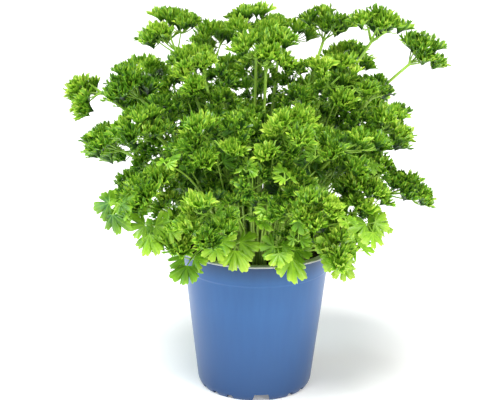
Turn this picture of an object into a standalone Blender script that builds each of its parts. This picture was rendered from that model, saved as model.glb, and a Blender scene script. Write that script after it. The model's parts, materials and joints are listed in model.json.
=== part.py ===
# Curly parsley growing in a thin-walled nursery pot, in metres.
# The origin is the middle of the pot's foot, +Z is up and -Y is the front.

import math
import random

import bmesh
import bpy
from mathutils import Vector

MM = 0.001
UP = Vector((0.0, 0.0, 1.0))

# Pot: a tapered body, a plain band above a step, and an out-turned lip.
SIDES = 36
WALL = 1.2 * MM
FOOT_RADIUS = 43.2 * MM
HEEL_RADIUS = 45.4 * MM
HEEL_HEIGHT = 3.6 * MM
STEP_RADIUS = 56.4 * MM
STEP_HEIGHT = 97.6 * MM
STEP_WIDTH = 0.8 * MM
STEP_RISE = 1.4 * MM
BAND_RADIUS = 58.9 * MM
BAND_HEIGHT = 114.6 * MM
LIP_RADIUS = 65.0 * MM
LIP_HEIGHT = 117.2 * MM
FLOOR_BOTTOM = 6.0 * MM
FLOOR_TOP = 7.4 * MM
FOOT_INNER = 40.8 * MM
LIP_EDGE = 1.3 * MM
EDGE_ROUND = 0.4 * MM

# Foot cut-outs: wide arches, with small notches between them.
ARCH_COUNT = 3
ARCH_TURN = 7.0
ARCH_WIDTH = 13.6 * MM
ARCH_HEIGHT = 5.6 * MM
NOTCH_TURNS = (-27.0, -9.0, 9.0, 27.0)
NOTCH_WIDTH = 5.4 * MM
NOTCH_HEIGHT = 3.0 * MM
CUTTER_TAPER = 0.18
DRAIN_COUNT = 4
DRAIN_RADIUS = 3.5 * MM
DRAIN_CIRCLE = 26.0 * MM
DRAIN_SIDES = 6
CUTTER_LENGTH = 12.0 * MM
CUT_MARGIN = 1.0 * MM

# Peat plug, with a plain hole for each stalk.
FIT_GAP = 0.35 * MM
SOIL_TOP = 108.0 * MM
HOLE_DEPTH = 9.0 * MM
HOLE_RADIUS = 2.5 * MM
HOLE_SIDES = 5
ROOT_SPREAD = 46.0 * MM
ROOT_SPACING = 8.0 * MM
FULL_LEAN = 80.0

# Stalks: a curved run from the hole to the fork below the head.
STALK_RADIUS = 1.6 * MM
FORK_RADIUS = 1.1 * MM
STALK_SIDES = 4
STALK_BENDS = 3
ROOT_GAP = 0.5 * MM
COLLAR = 1.0 * MM
BEND_HEIGHT = 0.45
BEND_OUT = 0.08
RIM_BEND_HEIGHT = 33.2 * MM
RIM_BEND_OUT = 12.0 * MM

# Curly heads. Shares are of the head's width, and a tuft's shares are of its own radius.
LARGE_HEAD = 55.0 * MM
LARGE_TUFTS = 4
SMALL_TUFTS = 3
LARGE_TUFT_SIZE = 0.23
SMALL_TUFT_SIZE = 0.26
TOP_TUFT_SIZE = 0.24
FORK_DROP = 0.46
CROWN_RISE = 0.07
CROWN_STALK = 3.0 * MM
BRANCH_STARTS = (0.02, 0.16)
TUFT_REACH = 0.30
TUFT_DROP = 0.18
TUFT_TILT = 0.25
TUFT_LOBES = 5
LOBE_TIPS = (0.32, 0.68)
LOBE_CURLS = (0.30, 0.85)
CURL_RANGE = (0.85, 1.15)
TIP_RANGE = (0.90, 1.06)
NOTCH_RANGE = (0.50, 0.58)
NOTCH_RISE = (0.28, 0.40)

# Flat older leaves: turn, reach and size of each leaflet, as shares of the leaf's width.
LEAFLETS = ((0.0, 0.26, 0.40), (82.0, 0.15, 0.34), (-82.0, 0.15, 0.34))
LEAFLET_TURNS = (-112.0, -86.0, -58.0, -28.0, 0.0, 28.0, 58.0, 86.0, 112.0)
LEAFLET_LIFT = 0.12
LEAFLET_SINK = 1.8 * MM
LEAFLET_OFFSET = 0.2 * MM
LEAF_BACK = 0.26
LEAF_LEAN = 54.0
BACK_NOTCH = 0.16
SIDE_REACH = 0.78
SCALLOP_REACH = 0.66
TIP_DROP = 0.22
SCALLOP_DROP = 0.08
LEAFLET_RANGE = (0.95, 1.05)

# Blades and the short branches that carry them.
BLADE = 0.9 * MM
BRANCH_RADIUS = 0.75 * MM
BRANCH_TAPER = 0.8
BRANCH_SIDES = 3
SEED = 7

# How heads give way to each other. A stalk keeps clear of the cone that a head fills.
SPREAD_STEPS = 90
HEAD_SHARE = 0.58
HEAD_DEPTH = 0.34
HEAD_PUSH = 0.25
STALK_PUSH = 0.12
HOME_PULL = 0.03
STALK_CLEARANCE = 3.0 * MM
CONE_TOP = 0.25
CONE_FOOT = 0.5
CONE_START = 0.3
CONE_GROWTH = 1.6

# Curly fronds: the middle of each head in millimetres, its width, and how far it faces
# outwards, from 0 for straight up to 1 for sideways.
CURLY = (
    (-68, 20, 286, 62, 0.20),
    (-4, 10, 292, 60, 0.05),
    (52, 28, 290, 42, 0.15),
    (90, -8, 296, 44, 0.20),
    (133, 26, 268, 46, 0.45),
    (-92, -16, 256, 50, 0.40),
    (-44, -46, 262, 54, 0.45),
    (8, -52, 268, 56, 0.40),
    (58, -42, 258, 52, 0.45),
    (88, -40, 236, 44, 0.50),
    (-141, 2, 234, 44, 0.95),
    (-100, 34, 226, 42, 0.40),
    (-76, -58, 232, 46, 0.55),
    (-34, -88, 228, 54, 0.60),
    (18, -90, 228, 56, 0.60),
    (68, -76, 214, 46, 0.60),
    (100, -2, 204, 42, 0.55),
    (-120, -14, 206, 46, 0.60),
    (-80, -76, 184, 46, 0.65),
    (-46, -104, 178, 50, 0.70),
    (44, -106, 184, 50, 0.70),
    (80, -66, 176, 40, 0.65),
    (108, -30, 184, 48, 0.65),
    (-58, -82, 152, 38, 0.75),
    (52, -96, 158, 36, 0.80),
    (72, -58, 152, 34, 0.75),
    (-36, 60, 270, 54, 0.35),
    (20, 70, 272, 52, 0.30),
    (62, 62, 260, 46, 0.40),
    (-94, 66, 246, 50, 0.50),
    (-12, 98, 246, 56, 0.50),
    (50, 102, 226, 54, 0.55),
    (90, 58, 224, 46, 0.55),
    (-68, 106, 208, 54, 0.60),
    (-112, 52, 190, 46, 0.65),
    (-14, 112, 188, 54, 0.65),
    (86, 94, 180, 50, 0.65),
    (-76, 90, 158, 44, 0.75),
    (28, 110, 152, 44, 0.75),
)

# Older leaves that hang over the rim: the middle of each, its width, and the way it faces, as
# degrees from the front.
RIM_LEAVES = (
    (-103, -28, 152, 34, -30),
    (-76, -50, 135, 32, -25),
    (-42, -74, 120, 34, -15),
    (-16, -80, 128, 36, 0),
    (22, -82, 127, 38, 8),
    (56, -72, 128, 32, 25),
    (77, -48, 142, 32, 40),
    (-88, 34, 132, 34, -120),
    (48, 78, 130, 36, 150),
)


def clear_scene():
    for obj in list(bpy.data.objects):
        bpy.data.objects.remove(obj, do_unlink=True)


def plain_material(name, colour, roughness):
    material = bpy.data.materials.new(name)
    material.use_nodes = True
    shader = material.node_tree.nodes["Principled BSDF"]
    shader.inputs["Base Color"].default_value = (*colour, 1.0)
    shader.inputs["Roughness"].default_value = roughness
    shader.inputs["Metallic"].default_value = 0.0
    return material


def new_object(name, mesh, material=None):
    obj = bpy.data.objects.new(name, mesh)
    bpy.context.scene.collection.objects.link(obj)
    if material:
        mesh.materials.append(material)
    return obj


def mesh_from_bmesh(name, bm, split=False):
    # Faces out. Bent quads are split, so that a Boolean reads them the way they are drawn.
    bmesh.ops.recalc_face_normals(bm, faces=bm.faces)
    if split:
        bmesh.ops.triangulate(bm, faces=bm.faces)
    mesh = bpy.data.meshes.new(name)
    bm.to_mesh(mesh)
    bm.free()
    return mesh


def turned_mesh(name, profile):
    # Spins a profile of (radius, height) points whose first and last lie on the axis.
    bm = bmesh.new()
    points = [bm.verts.new((radius, 0.0, height)) for radius, height in profile]
    edges = [bm.edges.new(pair) for pair in zip(points, points[1:])]
    bmesh.ops.spin(
        bm,
        geom=points + edges,
        cent=(0.0, 0.0, 0.0),
        axis=UP,
        angle=math.tau,
        steps=SIDES,
        use_merge=True,
    )
    bmesh.ops.remove_doubles(bm, verts=bm.verts, dist=1e-6)
    return mesh_from_bmesh(name, bm)


def prism(name, radius, low, high, sides, centre=(0.0, 0.0)):
    bm = bmesh.new()
    bmesh.ops.create_cone(
        bm,
        cap_ends=True,
        segments=sides,
        radius1=radius,
        radius2=radius,
        depth=high - low,
    )
    bmesh.ops.translate(bm, verts=bm.verts, vec=(*centre, (low + high) / 2))
    return new_object(name, mesh_from_bmesh(name, bm))


def combine(obj, others, operation, solver):
    # Applies one Boolean of a collection of objects to obj, then removes them.
    group = bpy.data.collections.new(obj.name + "_pieces")
    bpy.context.scene.collection.children.link(group)
    for other in others:
        bpy.context.scene.collection.objects.unlink(other)
        group.objects.link(other)
    modifier = obj.modifiers.new("combine", "BOOLEAN")
    modifier.operation = operation
    modifier.operand_type = "COLLECTION"
    modifier.collection = group
    modifier.solver = solver
    bpy.context.view_layer.update()
    graph = bpy.context.evaluated_depsgraph_get()
    result = bpy.data.meshes.new_from_object(obj.evaluated_get(graph))
    obj.modifiers.clear()
    old = obj.data
    obj.data = result
    result.name = obj.name
    bpy.data.meshes.remove(old)
    for other in others:
        bpy.data.objects.remove(other, do_unlink=True)
    bpy.data.collections.remove(group)


def keep_main_body(obj):
    # Keeps the largest body, which drops loose scraps and fills any hollow that joining sealed.
    bm = bmesh.new()
    bm.from_mesh(obj.data)
    left = set(bm.faces)
    bodies = []
    while left:
        body = []
        queue = [left.pop()]
        while queue:
            face = queue.pop()
            body.append(face)
            for edge in face.edges:
                if len(edge.link_faces) != 2:
                    continue
                for other in edge.link_faces:
                    if other in left:
                        left.remove(other)
                        queue.append(other)
        bodies.append(body)
    bodies.sort(key=len)
    for body in bodies[:-1]:
        bmesh.ops.delete(bm, geom=body, context="FACES")
    bm.to_mesh(obj.data)
    bm.free()


def body_radius(height):
    # Outer radius of the tapered body.
    share = (height - HEEL_HEIGHT) / (STEP_HEIGHT - HEEL_HEIGHT)
    return HEEL_RADIUS + (STEP_RADIUS - HEEL_RADIUS) * share


def band_radius(height):
    # Outer radius of the band between the step and the lip.
    low = STEP_HEIGHT + STEP_RISE
    share = (height - low) / (BAND_HEIGHT - low)
    return STEP_RADIUS + STEP_WIDTH + (BAND_RADIUS - STEP_RADIUS - STEP_WIDTH) * share


def foot_cutter(name, turn, width, height):
    # A bar with slanted sides that lies across the foot at an angle from the front.
    bm = bmesh.new()
    bmesh.ops.create_cube(bm, size=1.0)
    for vert in bm.verts:
        narrowing = CUTTER_TAPER if vert.co.z > 0.0 else -CUTTER_TAPER
        vert.co.x *= width * (1.0 - narrowing)
        vert.co.y *= CUTTER_LENGTH
        vert.co.z *= 2.0 * height
    cutter = new_object(name, mesh_from_bmesh(name, bm))
    angle = math.radians(turn)
    middle = (FOOT_INNER + HEEL_RADIUS) / 2
    cutter.location = (middle * math.sin(angle), -middle * math.cos(angle), 0.0)
    cutter.rotation_euler = (0.0, 0.0, angle)
    return cutter


def make_pot(material):
    band_low = STEP_HEIGHT + STEP_RISE
    profile = (
        (0.0, FLOOR_BOTTOM),
        (FOOT_INNER, FLOOR_BOTTOM),
        (FOOT_INNER, 0.0),
        (FOOT_RADIUS, 0.0),
        (HEEL_RADIUS, HEEL_HEIGHT),
        (STEP_RADIUS, STEP_HEIGHT),
        (band_radius(band_low), band_low),
        (BAND_RADIUS, BAND_HEIGHT),
        (LIP_RADIUS, LIP_HEIGHT - LIP_EDGE),
        (LIP_RADIUS - EDGE_ROUND, LIP_HEIGHT),
        (BAND_RADIUS - WALL, LIP_HEIGHT - EDGE_ROUND),
        (band_radius(band_low) - WALL, band_low + EDGE_ROUND),
        (STEP_RADIUS - WALL, STEP_HEIGHT),
        (body_radius(FLOOR_TOP) - WALL, FLOOR_TOP),
        (0.0, FLOOR_TOP),
    )
    pot = new_object("pot", turned_mesh("pot", profile), material)
    cutters = []
    for arch in range(ARCH_COUNT):
        turn = ARCH_TURN + arch * 360.0 / ARCH_COUNT
        cutters.append(foot_cutter("arch", turn, ARCH_WIDTH, ARCH_HEIGHT))
        for offset in NOTCH_TURNS:
            middle = turn + 180.0 / ARCH_COUNT + offset
            cutters.append(foot_cutter("notch", middle, NOTCH_WIDTH, NOTCH_HEIGHT))
    for drain in range(DRAIN_COUNT):
        angle = drain * math.tau / DRAIN_COUNT
        place = (DRAIN_CIRCLE * math.cos(angle), DRAIN_CIRCLE * math.sin(angle))
        low = FLOOR_BOTTOM - CUT_MARGIN
        high = FLOOR_TOP + CUT_MARGIN
        cutters.append(prism("drain", DRAIN_RADIUS, low, high, DRAIN_SIDES, place))
    combine(pot, cutters, "DIFFERENCE", "EXACT")
    return pot


def make_soil(material, roots):
    low = FLOOR_TOP + FIT_GAP
    profile = (
        (0.0, low),
        (body_radius(low) - WALL - FIT_GAP, low),
        (STEP_RADIUS - WALL + STEP_WIDTH, SOIL_TOP),
        (0.0, SOIL_TOP),
    )
    soil = new_object("soil", turned_mesh("soil", profile), material)
    top = SOIL_TOP + CUT_MARGIN
    bottom = SOIL_TOP - HOLE_DEPTH
    holes = []
    for root in roots:
        holes.append(prism("hole", HOLE_RADIUS, bottom, top, HOLE_SIDES, (root.x, root.y)))
    combine(soil, holes, "DIFFERENCE", "EXACT")
    return soil


def outward(point):
    # The level direction from the pot's axis to a point.
    return Vector((point.x, point.y, 0.0)).normalized()


def head_list():
    # Each head as a dictionary: its number, middle, width, lean and kind.
    heads = []
    for number, (x, y, z, width, facing) in enumerate(CURLY, 1):
        head = {"name": f"frond_{number:02d}", "curly": True}
        head["middle"] = Vector((x, y, z)) * MM
        head["width"] = width * MM
        head["lean"] = math.radians(90.0) * facing
        heads.append(head)
    for number, (x, y, z, width, turn) in enumerate(RIM_LEAVES, 1):
        head = {"name": f"rim_leaf_{number:02d}", "curly": False}
        head["middle"] = Vector((x, y, z)) * MM
        head["width"] = width * MM
        head["lean"] = math.radians(LEAF_LEAN)
        angle = math.radians(turn)
        head["facing"] = Vector((math.sin(angle), -math.cos(angle), 0.0))
        heads.append(head)
    for number, head in enumerate(heads):
        head["seed"] = SEED + number
        head["home"] = head["middle"].copy()
    return heads


def place_stalk(head):
    # Sets a head's facing axis, its root and the points up its stalk.
    base = Vector((0.0, 0.0, SOIL_TOP))
    middle = head["middle"]
    side = outward(middle)
    facing = head.get("facing", side)
    axis = facing * math.sin(head["lean"]) + UP * math.cos(head["lean"])
    way = middle - base
    lean = math.atan2(Vector((way.x, way.y)).length, way.z)
    reach = ROOT_SPREAD * min(1.0, lean / math.radians(FULL_LEAN))
    root = base + side * reach + head.get("root_shift", Vector())
    if head["curly"]:
        fork = middle - axis * head["width"] * FORK_DROP
        rise = (fork - root).length
        bend = root + UP * rise * BEND_HEIGHT + side * rise * BEND_OUT
    else:
        tip = facing * math.cos(head["lean"]) - UP * math.sin(head["lean"])
        fork = middle - (tip * LEAF_BACK + axis * LEAFLET_LIFT) * head["width"]
        bend = root + UP * RIM_BEND_HEIGHT + side * RIM_BEND_OUT
    path = [root - UP * (HOLE_DEPTH - ROOT_GAP), root + UP * COLLAR]
    for step in range(1, STALK_BENDS + 1):
        share = step / STALK_BENDS
        one = root.lerp(bend, share)
        two = bend.lerp(fork, share)
        path.append(one.lerp(two, share))
    head["axis"] = axis
    head["root"] = root
    head["path"] = path


def stalk_samples(head):
    # Evenly spread points from the soil to the head's middle.
    points = []
    path = head["path"][1:] + [head["middle"]]
    for low, high in zip(path, path[1:]):
        for share in (0.0, 0.25, 0.5, 0.75):
            points.append(low.lerp(high, share))
    return points


def head_push(one, two):
    # How far two heads must part, as a sideways vector for the second.
    apart = two["middle"] - one["middle"]
    axis = (one["axis"] + two["axis"]).normalized()
    along = apart.dot(axis)
    level = apart - axis * along
    reach = (one["width"] + two["width"]) * HEAD_SHARE
    depth = (one["width"] + two["width"]) * HEAD_DEPTH
    closeness = math.hypot(level.length / reach, along / depth)
    if closeness >= 1.0:
        return None
    return level.normalized() * reach * (1.0 - closeness)


def stalk_push(head, samples):
    # How far a head must part from a stalk that passes it, as a vector for the stalk.
    width = head["width"]
    most = None
    for point in samples:
        apart = point - head["middle"]
        along = apart.dot(head["axis"])
        if not -CONE_FOOT * width < along < CONE_TOP * width:
            continue
        level = apart - head["axis"] * along
        opening = CONE_START + (along / width + CONE_FOOT) * CONE_GROWTH
        reach = width * HEAD_SHARE * min(1.0, opening)
        short = reach + STALK_CLEARANCE - level.length
        if short > 0.0 and (most is None or short > most.length):
            most = level.normalized() * short
    return most


def spread_heads(heads):
    # Leans the heads apart until each has its own space and no stalk passes through one.
    for head in heads:
        place_stalk(head)
    for _ in range(SPREAD_STEPS):
        shifts = [(head["home"] - head["middle"]) * HOME_PULL for head in heads]
        samples = [stalk_samples(head) for head in heads]
        for one, head in enumerate(heads):
            for two, other in enumerate(heads):
                if one == two:
                    continue
                if one < two:
                    push = head_push(head, other)
                    if push:
                        shifts[one] -= push * HEAD_PUSH
                        shifts[two] += push * HEAD_PUSH
                push = stalk_push(head, samples[two])
                if push:
                    shifts[one] -= push * STALK_PUSH
                    shifts[two] += push * STALK_PUSH
        for head, shift in zip(heads, shifts):
            head["middle"] += shift
            place_stalk(head)


def spread_roots(heads):
    # Parts roots that come too close together in the peat.
    base = Vector((0.0, 0.0, SOIL_TOP))
    roots = [head["root"].copy() for head in heads]
    for _ in range(SPREAD_STEPS):
        for one in range(len(roots)):
            for two in range(one):
                apart = roots[two] - roots[one]
                short = ROOT_SPACING - apart.length
                if short > 0.0:
                    roots[two] += apart.normalized() * short / 2
                    roots[one] -= apart.normalized() * short / 2
            reach = (roots[one] - base).length
            if reach > ROOT_SPREAD:
                roots[one] = base.lerp(roots[one], ROOT_SPREAD / reach)
    for head, root in zip(heads, roots):
        head["root_shift"] = root - head["root"]
        place_stalk(head)


def tube_mesh(name, path, radii, sides):
    bm = bmesh.new()
    rings = []
    for index, point in enumerate(path):
        before = path[max(index - 1, 0)]
        after = path[min(index + 1, len(path) - 1)]
        along = (after - before).normalized()
        side = along.cross(Vector((0.31, 0.95, 0.0))).normalized()
        other = along.cross(side)
        ring = []
        for corner in range(sides):
            angle = math.tau * corner / sides
            offset = (side * math.cos(angle) + other * math.sin(angle)) * radii[index]
            ring.append(bm.verts.new(point + offset))
        rings.append(ring)
    for low, high in zip(rings, rings[1:]):
        for corner in range(sides):
            after = (corner + 1) % sides
            bm.faces.new((low[corner], low[after], high[after], high[corner]))
    bm.faces.new(reversed(rings[0]))
    bm.faces.new(rings[-1])
    return mesh_from_bmesh(name, bm, split=True)


def blade_on_stalk(name, foot, base, axis, rim):
    # A thin blade on its own short stalk, as one closed body. The rim goes round the base and
    # says which points are tips. The blade's two faces are split into triangles alike, and
    # meet at the tips.
    side, other = level_frame(axis)
    bm = bmesh.new()
    centre = bm.verts.new(base + axis * BLADE)
    upper = []
    lower = []
    for point, tip in rim:
        if tip:
            edge = bm.verts.new(point + axis * BLADE / 2)
            upper.append(edge)
            lower.append(edge)
        else:
            upper.append(bm.verts.new(point + axis * BLADE))
            lower.append(bm.verts.new(point))
    along = (base - foot).normalized()
    across = (side - along * side.dot(along)).normalized()
    beside = along.cross(across)
    ring = []
    root = []
    for corner in range(BRANCH_SIDES):
        angle = math.tau * corner / BRANCH_SIDES
        level = side * math.cos(angle) + other * math.sin(angle)
        ring.append(bm.verts.new(base + level * BRANCH_RADIUS))
        level = across * math.cos(angle) + beside * math.sin(angle)
        root.append(bm.verts.new(foot + level * BRANCH_RADIUS * BRANCH_TAPER))
    count = len(rim)
    for index in range(count):
        after = (index + 1) % count
        bm.faces.new((centre, upper[index], upper[after]))
        if upper[index] is not lower[index]:
            bm.faces.new((upper[index], lower[index], upper[after]))
        if upper[after] is not lower[after]:
            bm.faces.new((upper[after], lower[after], upper[index]))
    # The underside runs from the rim in to the ring where the stalk begins.
    angles = []
    for vertex in lower:
        level = vertex.co - base
        angles.append(math.atan2(level.dot(other), level.dot(side)) % math.tau)
    first = min(range(count), key=lambda index: angles[index])
    order = [(first + index) % count for index in range(count)]
    corner = 0
    for index, one in enumerate(order):
        two = order[(index + 1) % count]
        limit = math.tau * (corner + 0.5) / BRANCH_SIDES
        while corner < BRANCH_SIDES and angles[one] > limit:
            bm.faces.new((ring[corner], ring[(corner + 1) % BRANCH_SIDES], lower[one]))
            corner += 1
            limit = math.tau * (corner + 0.5) / BRANCH_SIDES
        bm.faces.new((ring[corner % BRANCH_SIDES], lower[one], lower[two]))
    while corner < BRANCH_SIDES:
        bm.faces.new((ring[corner], ring[(corner + 1) % BRANCH_SIDES], lower[order[0]]))
        corner += 1
    for corner in range(BRANCH_SIDES):
        after = (corner + 1) % BRANCH_SIDES
        bm.faces.new((root[corner], root[after], ring[after], ring[corner]))
    bm.faces.new(root)
    return new_object(name, mesh_from_bmesh(name, bm, split=True))


def level_frame(axis):
    # Two directions at right angles to the axis and to each other.
    side = axis.cross(Vector((0.22, 0.97, 0.12))).normalized()
    return side, axis.cross(side).normalized()


def tuft(name, foot, base, axis, radius, draw):
    # A ruffled cup of blunt lobes that opens along the axis from its base, with every other
    # lobe curled up. Each lobe runs from a notch to two tips.
    side, other = level_frame(axis)
    turn = draw.uniform(0.0, math.tau)
    rim = []
    for lobe in range(TUFT_LOBES):
        curl = LOBE_CURLS[lobe % 2]
        for share in (0.0, *LOBE_TIPS):
            tip = share > 0.0
            angle = turn + math.tau * (lobe + share) / TUFT_LOBES
            if tip:
                reach = radius * draw.uniform(*TIP_RANGE)
                rise = radius * curl * draw.uniform(*CURL_RANGE)
            else:
                reach = radius * draw.uniform(*NOTCH_RANGE)
                rise = radius * draw.uniform(*NOTCH_RISE)
            level = (side * math.cos(angle) + other * math.sin(angle)) * reach
            rim.append((base + level + axis * rise, tip))
    return blade_on_stalk(name, foot, base, axis, rim)


def leaflet(name, foot, base, way, face, radius, draw):
    # A flat scalloped leaflet: blunt lobes to the front and sides, drooping a little.
    side = face.cross(way).normalized()
    rim = [(base - way * radius * BACK_NOTCH, False)]
    for index, turn in enumerate(LEAFLET_TURNS):
        angle = math.radians(turn)
        tip = index % 2 == 0
        reach = radius * (SIDE_REACH + (1.0 - SIDE_REACH) * math.cos(angle))
        reach *= 1.0 if tip else SCALLOP_REACH
        drop = radius * (TIP_DROP if tip else SCALLOP_DROP)
        level = way * math.cos(angle) + side * math.sin(angle)
        point = base + level * reach * draw.uniform(*LEAFLET_RANGE) - face * drop
        rim.append((point, tip))
    return blade_on_stalk(name, foot, base, face, rim)


def stalk_object(name, path, material):
    last = len(path) - 1
    step = (FORK_RADIUS - STALK_RADIUS) / last
    radii = [STALK_RADIUS + step * index for index in range(last + 1)]
    return new_object(name, tube_mesh(name, path, radii, STALK_SIDES), material)


def make_curly_frond(head, material):
    # The stalk carries pairs of branches below its end, and each branch ends in a tuft.
    draw = random.Random(head["seed"])
    width = head["width"]
    axis = head["axis"]
    side, other = level_frame(axis)
    turn = draw.uniform(0.0, math.tau)
    fork = head["path"][-1]
    end = head["middle"] + axis * width * CROWN_RISE
    frond = stalk_object(head["name"], head["path"] + [end - axis * BLADE], material)
    foot = end - axis * CROWN_STALK
    pieces = [tuft("tuft", foot, end, axis, width * TOP_TUFT_SIZE, draw)]
    large = width > LARGE_HEAD
    count = LARGE_TUFTS if large else SMALL_TUFTS
    size = LARGE_TUFT_SIZE if large else SMALL_TUFT_SIZE
    for index in range(count):
        angle = turn + math.tau * index / count
        level = side * math.cos(angle) + other * math.sin(angle)
        foot = fork + axis * width * BRANCH_STARTS[index % 2]
        base = head["middle"] + (level * TUFT_REACH - axis * TUFT_DROP) * width
        way = (base - foot).normalized()
        face = (way + level * TUFT_TILT).normalized()
        pieces.append(tuft("tuft", foot, base, face, width * size, draw))
    combine(frond, pieces, "UNION", "MANIFOLD")
    keep_main_body(frond)


def make_rim_leaf(head, material):
    # Three flat leaflets: one at the tip and one to each side.
    draw = random.Random(head["seed"])
    fork = head["path"][-1]
    face = head["axis"]
    tip = (head["facing"] - face * head["facing"].dot(face)).normalized()
    side = face.cross(tip).normalized()
    width = head["width"]
    leaf = stalk_object(head["name"], head["path"], material)
    along = (fork - head["path"][-2]).normalized()
    pieces = []
    for turn, reach, size in LEAFLETS:
        angle = math.radians(turn)
        way = (tip * math.cos(angle) + side * math.sin(angle)).normalized()
        base = fork + (way * reach + face * LEAFLET_LIFT) * width
        foot = fork - along * LEAFLET_SINK + way * LEAFLET_OFFSET
        pieces.append(leaflet("leaflet", foot, base, way, face, width * size, draw))
    combine(leaf, pieces, "UNION", "MANIFOLD")
    keep_main_body(leaf)


def main():
    clear_scene()
    blue = plain_material("blue_polypropylene", (0.105, 0.215, 0.445), 0.42)
    peat = plain_material("peat", (0.020, 0.013, 0.009), 0.95)
    green = plain_material("parsley_leaf", (0.115, 0.320, 0.030), 0.55)
    heads = head_list()
    spread_heads(heads)
    spread_roots(heads)
    make_pot(blue)
    make_soil(peat, [head["root"] for head in heads])
    for head in heads:
        if head["curly"]:
            make_curly_frond(head, green)
        else:
            make_rim_leaf(head, green)


main()
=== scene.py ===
import json
import math
import random

import bmesh
import bpy
import numpy as np
from mathutils import Matrix, Vector, noise

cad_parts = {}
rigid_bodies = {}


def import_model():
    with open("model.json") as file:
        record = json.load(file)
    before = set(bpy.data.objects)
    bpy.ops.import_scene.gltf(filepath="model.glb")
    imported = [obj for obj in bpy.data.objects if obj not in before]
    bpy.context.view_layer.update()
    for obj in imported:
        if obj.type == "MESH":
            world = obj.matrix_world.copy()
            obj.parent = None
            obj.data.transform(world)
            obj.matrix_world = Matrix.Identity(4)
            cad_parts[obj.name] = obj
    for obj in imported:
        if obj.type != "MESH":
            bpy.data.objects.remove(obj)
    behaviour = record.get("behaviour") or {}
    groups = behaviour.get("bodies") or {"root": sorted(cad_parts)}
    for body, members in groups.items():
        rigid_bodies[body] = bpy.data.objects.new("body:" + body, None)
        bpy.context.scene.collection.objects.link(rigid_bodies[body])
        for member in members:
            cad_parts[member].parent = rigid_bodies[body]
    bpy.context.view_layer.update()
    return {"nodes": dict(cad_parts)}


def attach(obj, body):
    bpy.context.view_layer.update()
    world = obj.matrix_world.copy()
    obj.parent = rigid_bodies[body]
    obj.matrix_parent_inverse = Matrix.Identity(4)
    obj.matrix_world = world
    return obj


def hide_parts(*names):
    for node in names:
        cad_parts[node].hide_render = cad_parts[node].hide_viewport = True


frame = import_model()
print("frame loaded with", len(frame["nodes"]), "solids")

mm = 0.001
goldenAngle = math.pi * (3.0 - math.sqrt(5.0))   # turns each next one so that they spread evenly
up = Vector((0.0, 0.0, 1.0))
scene = bpy.context.scene


# Small helpers for objects, colours and nodes

def newObject(name, data):
    made = bpy.data.objects.new(name, data)
    scene.collection.objects.link(made)
    return made


def newPiece(name, mesh, materials, replaced=()):
    piece = newObject(name, mesh)
    for material in materials:
        mesh.materials.append(material)
    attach(piece, "root")
    if replaced:
        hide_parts(*replaced)
    return piece


def meshOf(name, bm):
    mesh = bpy.data.meshes.new(name)
    bm.to_mesh(mesh)
    bm.free()
    return mesh


def lookFrom(made, place, aim, roll=0.0):
    made.location = place
    turn = (Vector(aim) - made.location).to_track_quat("-Z", "Y").to_matrix().to_4x4()
    made.rotation_euler = (turn @ Matrix.Rotation(math.radians(roll), 4, "Z")).to_euler()


def toLinear(hexColour):
    channels = [int(hexColour[i:i + 2], 16) / 255 for i in (1, 3, 5)]
    linear = [c / 12.92 if c <= 0.04045 else ((c + 0.055) / 1.055) ** 2.4 for c in channels]
    return (*linear, 1.0)


def addNode(tree, kind, values=None, links=None, stops=None, **settings):
    # a link comes from a socket, or from a node's first output
    node = tree.nodes.new(kind)
    for name, value in settings.items():
        setattr(node, name, value)
    for name, value in (values or {}).items():
        node.inputs[name].default_value = value
    for name, source in (links or {}).items():
        tree.links.new(source.outputs[0] if isinstance(source, bpy.types.Node) else source, node.inputs[name])
    if stops:
        ramp = node.color_ramp
        while len(ramp.elements) < len(stops):
            ramp.elements.new(0.5)
        for element, (place, colour) in zip(ramp.elements, stops):
            element.position = place
            element.color = toLinear(colour)
    return node


def newMaterial(name):
    material = bpy.data.materials.new(name)
    material.use_nodes = True
    tree = material.node_tree
    tree.nodes.clear()
    return material, tree


# Camera, at the height and distance that the photograph was taken from

view = {
    "aim": (-0.0054, 0.0, 0.1507),
    "distance": 1.0173,
    "elevation": 15.68,     # degrees
    "roll": 0.75,
    "lens": 93.6,
    "sensor": 36.0,
}


def makeCamera():
    data = bpy.data.cameras.new("camera")
    data.lens = view["lens"]
    data.sensor_width = view["sensor"]
    camera = newObject("camera", data)
    angle = math.radians(view["elevation"])
    back = Vector((0.0, -math.cos(angle), math.sin(angle))) * view["distance"]
    lookFrom(camera, Vector(view["aim"]) + back, view["aim"], view["roll"])
    scene.camera = camera


makeCamera()


# Foliage materials

leafLook = {
    "cool": ("#13281E", "#629E28", "#BADC44"),     # funnels and undersides, blades, then tips and folds
    "warm": ("#2A5E18", "#98C42C", "#DCEC62"),
    "through": "#88C828",      # light that comes through the lamina
    "throughShare": 0.17,
    "roughness": 0.30,
    "ior": 1.40,
    "mottle": 2.5,             # mm
    "mottleShare": 0.35,
    "cell": 0.5,               # mm, the real cells are finer; drawn coarse enough to show
}


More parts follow.
